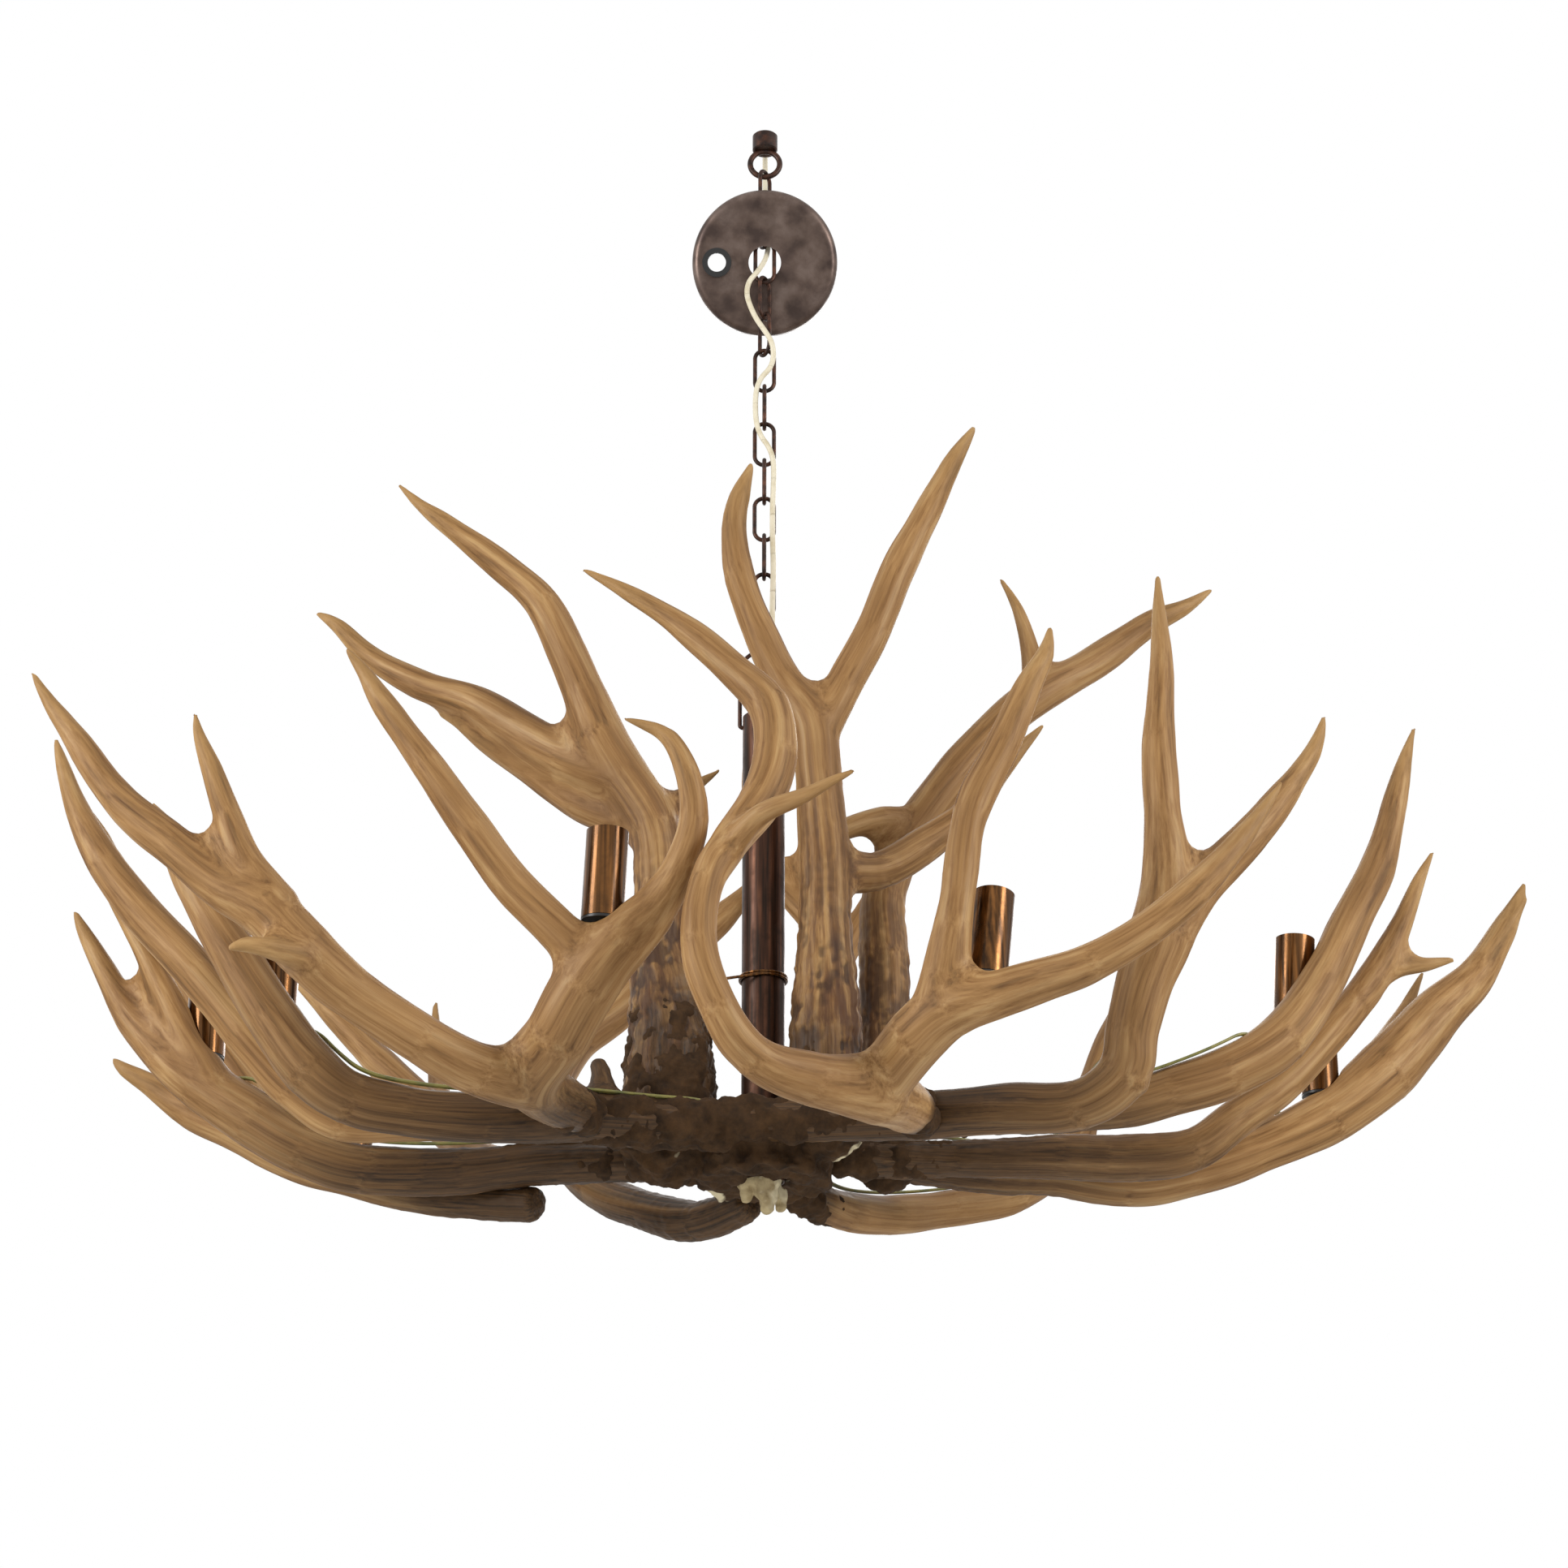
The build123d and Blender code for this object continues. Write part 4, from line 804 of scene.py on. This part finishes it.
# Filler is smeared over the inner ends of the beams: how far along each, and how thick, in mm
smears = {
    "antler_left_1": (150, 3.5), "antler_right_1": (130, 3.5),
    "antler_left_3": (120, 2.5), "antler_right_3": (110, 2.5),
    "antler_upright_left": (105, 4.5), "antler_upright_front": (55, 3.0),
    "antler_upright_rear": (60, 3.0), "antler_rear_low_left": (45, 3.0),
    "antler_rear_right": (45, 3.0), "antler_front_right": (22, 1.5),
    "antler_front_left": (40, 1.5), "antler_right_2": (60, 2.0), "antler_left_2": (60, 2.0),
}


# A lump of filler with a torn, pitted surface
def craggy(mesh, name, depth):
    piece = remeshed(mesh, name, hubLook["voxel"])
    mesh = piece.data
    places, edges = coordinates(mesh)
    places = relax(places, edges, np.full(len(places), 0.5), hubLook["relaxRounds"])
    writeBack(mesh, places)
    for index, direction in enumerate(normals(mesh)):
        spot = Vector(places[index]) / millimetre
        lift = noise.noise(spot / hubLook["cragSize"]) * hubLook["crag"]
        lift += noise.noise(spot / hubLook["gritSize"]) * hubLook["grit"]
        places[index] += direction * (lift * depth * millimetre)
    writeBack(mesh, places)
    shadeSmooth(mesh)
    return piece


# The filler core, with a row of balls over each beam's end that the skin then joins
def smearedHub():
    shape = bmesh.new()
    shape.from_mesh(nodes["hub_core"].data)
    for name, (length, thick) in smears.items():
        for row in limbSamples(antlerLimbs[name][0], steps=6):
            share = row[7] / length
            if share > 1:
                break
            cover = thick * (1 - hubLook["smearTaper"] * share ** hubLook["smearCurve"])
            ball = bmesh.ops.create_icosphere(
                shape, subdivisions=3, radius=(row[6] + cover) * millimetre)
            bmesh.ops.translate(shape, verts=ball["verts"], vec=fromHub(row[3:6]))
    mesh = bpy.data.meshes.new("smearedHub")
    shape.to_mesh(mesh)
    shape.free()
    return mesh


# Resin filler is dull, with dark stain in its hollows and cream crumbs where it was chipped
fillerLook = {
    "roughness": 0.88,
    "specular": 0.25,
    "lumps": {"Scale": patternScale(16.7), "Detail": 6.0, "Roughness": 0.7},
    "chips": {"Scale": patternScale(45.5), "Detail": 4.0},
    "crumbSize": 9.1,          # mm
    "crumbRelief": 1.2,        # mm
    "crumbStrength": 0.8,
    "chipColour": "D9CCAA",
    "chipEdge": 0.05,
}


def resinFiller(name, dark, pale, chipLevel):
    look = fillerLook
    material, tree = newMaterial(name)
    place = addNode(tree, "TexCoord")["Object"]
    lump = addNode(tree, "TexNoise", inputs={"Vector": place, **look["lumps"]})["Fac"]
    chip = addNode(tree, "TexNoise", inputs={"Vector": place, **look["chips"]})["Fac"]
    crumb = addNode(tree, "TexVoronoi", inputs={
        "Vector": place, "Scale": patternScale(look["crumbSize"])})["Distance"]
    stained = addNode(tree, "ValToRGB", None, {"Fac": lump}, [(0.32, dark), (0.68, pale)])["Color"]
    chipped = addNode(tree, "MapRange", inputs={
        "Value": chip, "From Min": chipLevel, "From Max": chipLevel + look["chipEdge"]})["Result"]
    colour = addNode(tree, "Mix", {"data_type": "RGBA"}, {
        0: chipped, 6: stained, 7: hexColour(look["chipColour"])})[2]
    pitted = addNode(tree, "Bump", inputs={
        "Height": crumb, "Distance": look["crumbRelief"] * millimetre,
        "Strength": look["crumbStrength"]})["Normal"]
    shader = addNode(tree, "BsdfPrincipled", inputs={
        "Base Color": colour, "Roughness": look["roughness"],
        "Specular IOR Level": look["specular"], "Normal": pitted})
    addNode(tree, "OutputMaterial", inputs={"Surface": shader["BSDF"]})
    return material


hubFiller = craggy(smearedHub(), "hubFiller", 1.0)
setMaterial(hubFiller, resinFiller("stained filler", "281B0F", "523A22", 0.67))
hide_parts("hub_core")
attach(hubFiller, "fixture")
hubPutty = craggy(nodes["hub_putty"].data.copy(), "hubPutty", hubLook["puttyDepth"])
setMaterial(hubPutty, resinFiller("cream putty", "8E7A58", "C9B88F", 0.6))
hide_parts("hub_putty")
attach(hubPutty, "fixture")
print("hub made")

# Plated or enamelled metal shines in streaks where it was brushed, and is dark where tarnished.
# A plate drawn along z has its streaks stretched that way. Sizes are in mm
metals = {
    "worn copper plate": {
        "colour": "62401F", "dark": "33200F", "bright": "8A5B2E",
        "metallic": 0.75, "roughness": 0.2, "brushSize": 3.33, "drawn": 0.02},
    "dull copper plate": {
        "colour": "43291B", "dark": "24170E", "bright": "64402C",
        "metallic": 0.7, "roughness": 0.42, "brushSize": 3.33, "drawn": 0.04},
    "brown enamelled wire": {
        "colour": "3B2419", "dark": "22140E", "bright": "5A3625",
        "metallic": 0.55, "roughness": 0.4, "brushSize": 6.25, "drawn": 1.0},
    "antique bronze plate": {
        "colour": "62524A", "dark": "463934", "bright": "786860",
        "metallic": 0.75, "roughness": 0.42, "brushSize": 22.2, "drawn": 1.0},
    "zinc plated steel": {
        "colour": "9A9890", "dark": "6E6C66", "bright": "BDBBB2",
        "metallic": 1.0, "roughness": 0.35, "brushSize": 5.0, "drawn": 1.0},
}
wear = {
    "clouds": {"Scale": patternScale(26.3), "Detail": 5.0, "Roughness": 0.65},
    "tarnishRange": {"From Min": 0.48, "From Max": 0.72, "To Max": 0.65},
    "smoother": 0.08,          # less rough where it is bright
    "duller": 0.14,            # and rougher where it is dark
    "scratch": 0.1,            # mm
}


def wornMetal(name):
    look = metals[name]
    material, tree = newMaterial(name)
    place = addNode(tree, "TexCoord")["Object"]
    drawn = addNode(tree, "Mapping", inputs={
        "Vector": place, "Scale": (1.0, 1.0, look["drawn"])})["Vector"]
    brushed = addNode(tree, "TexNoise", inputs={
        "Vector": drawn, "Scale": patternScale(look["brushSize"]), "Detail": 4.0})["Fac"]
    cloud = addNode(tree, "TexNoise", inputs={"Vector": place, **wear["clouds"]})["Fac"]
    plate = addNode(tree, "ValToRGB", None, {"Fac": brushed}, [
        (0.34, look["dark"]), (0.5, look["colour"]), (0.68, look["bright"])])["Color"]
    tarnish = addNode(tree, "MapRange", inputs={"Value": cloud, **wear["tarnishRange"]})["Result"]
    colour = addNode(tree, "Mix", {"data_type": "RGBA"}, {
        0: tarnish, 6: plate, 7: hexColour(look["dark"])})[2]
    dullness = addNode(tree, "MapRange", inputs={
        "Value": cloud, "From Min": 0.35, "From Max": 0.7,
        "To Min": look["roughness"] - wear["smoother"],
        "To Max": look["roughness"] + wear["duller"]})["Result"]
    scratched = addNode(tree, "Bump", inputs={
        "Height": brushed, "Distance": wear["scratch"] * millimetre, "Strength": 0.5})["Normal"]
    shader = addNode(tree, "BsdfPrincipled", inputs={
        "Base Color": colour, "Metallic": look["metallic"], "Roughness": dullness,
        "Normal": scratched})
    addNode(tree, "OutputMaterial", inputs={"Surface": shader["BSDF"]})
    return material


# Moulded plastic has an even colour and the fine matt grain of its mould
plasticGrain = {"size": 1.43, "relief": 0.08, "strength": 0.6}     # mm, mm


def mouldedPlastic(name, colour, roughness):
    material, tree = newMaterial(name)
    place = addNode(tree, "TexCoord")["Object"]
    grit = addNode(tree, "TexNoise", inputs={
        "Vector": place, "Scale": patternScale(plasticGrain["size"]), "Detail": 2.0})["Fac"]
    matt = addNode(tree, "Bump", inputs={
        "Height": grit, "Distance": plasticGrain["relief"] * millimetre,
        "Strength": plasticGrain["strength"]})["Normal"]
    shader = addNode(tree, "BsdfPrincipled", inputs={
        "Base Color": hexColour(colour), "Roughness": roughness, "Normal": matt})
    addNode(tree, "OutputMaterial", inputs={"Surface": shader["BSDF"]})
    return material


copperPlate = wornMetal("worn copper plate")
brownEnamel = wornMetal("brown enamelled wire")
blackPhenolic = mouldedPlastic("black phenolic", "14110F", 0.4)
finishes = {
    "ceiling_loop": brownEnamel,
    "bail": brownEnamel,
    "canopy": wornMetal("antique bronze plate"),
    "canopy_bushing": mouldedPlastic("black nylon", "191919", 0.5),
    "stem_pipe": wornMetal("dull copper plate"),
    "tie_wire": copperPlate,
    "socket_studs": wornMetal("zinc plated steel"),
}
repeated = {
    "chain_link_": brownEnamel, "candle_sleeve_": copperPlate, "lamp_socket_": blackPhenolic}
for name in nodes:
    for start, material in repeated.items():
        if name.startswith(start):
            finishes[name] = material
for name, material in finishes.items():
    setMaterial(nodes[name], material)
print("finishes set")

lighting = {
    "room": 0.42,
    "roomColour": "F4F2EF",
    "aimAboveHub": 0.15,
    "lamps": {                 # place from the hub and size in metres, power in watts
        "left": {"place": (-2.3, -1.5, 0.7), "power": 52, "size": (0.8, 1.8)},
        "right": {"place": (2.3, -1.5, 0.9), "power": 46, "size": (0.8, 1.8)},
        "back": {"place": (0.3, 2.2, 1.3), "power": 24, "size": (1.8, 1.2)},
        "under": {"place": (0.1, -2.0, -0.9), "power": 3, "size": (1.4, 0.8)},
    },
}
aim = Vector((0, 0, hubZ + lighting["aimAboveHub"]))
for name, lamp in lighting["lamps"].items():
    data = bpy.data.lights.new(name, "AREA")
    data.energy = lamp["power"]
    data.shape = "RECTANGLE"
    data.size, data.size_y = lamp["size"]
    light = link(bpy.data.objects.new(name, data))
    light.location = lamp["place"]
    light.location.z += hubZ
    light.rotation_euler = (aim - light.location).to_track_quat("-Z", "Y").to_euler()

# The camera, gloss and clear things see white behind the fixture, and the room's light is plain
world = bpy.data.worlds.new("studio")
bpy.context.scene.world = world
world.use_nodes = True
world.node_tree.nodes.clear()
rays = addNode(world.node_tree, "LightPath")
seen = rays["Is Camera Ray"]
for ray in ("Is Glossy Ray", "Is Transmission Ray"):
    seen = addNode(world.node_tree, "Math", {"operation": "MAXIMUM"}, {0: seen, 1: rays[ray]})[0]
roomLight = addNode(world.node_tree, "Background", inputs={
    "Color": hexColour(lighting["roomColour"]), "Strength": lighting["room"]})
whiteBack = addNode(world.node_tree, "Background", inputs={
    "Color": hexColour("FFFFFF"), "Strength": 1.0})
mixed = addNode(world.node_tree, "MixShader", inputs={0: seen, 1: roomLight[0], 2: whiteBack[0]})
addNode(world.node_tree, "OutputWorld", inputs={"Surface": mixed[0]})

floorLook = {"halfWidth": 8, "belowHub": 1.6, "colour": "F4F4F2", "roughness": 0.9}
floorShape = bmesh.new()
bmesh.ops.create_grid(floorShape, x_segments=1, y_segments=1, size=floorLook["halfWidth"])
bmesh.ops.translate(
    floorShape, verts=floorShape.verts, vec=(0, 0, hubZ - floorLook["belowHub"]))
floorMesh = bpy.data.meshes.new("floor")
floorShape.to_mesh(floorMesh)
floorShape.free()
floor = link(bpy.data.objects.new("floor", floorMesh))
floorPaint, floorTree = newMaterial("pale floor")
floorShader = addNode(floorTree, "BsdfPrincipled", inputs={
    "Base Color": hexColour(floorLook["colour"]), "Roughness": floorLook["roughness"]})
addNode(floorTree, "OutputMaterial", inputs={"Surface": floorShader["BSDF"]})
setMaterial(floor, floorPaint)
print("lights and floor set")

bpy.context.scene.view_settings.view_transform = "Standard"
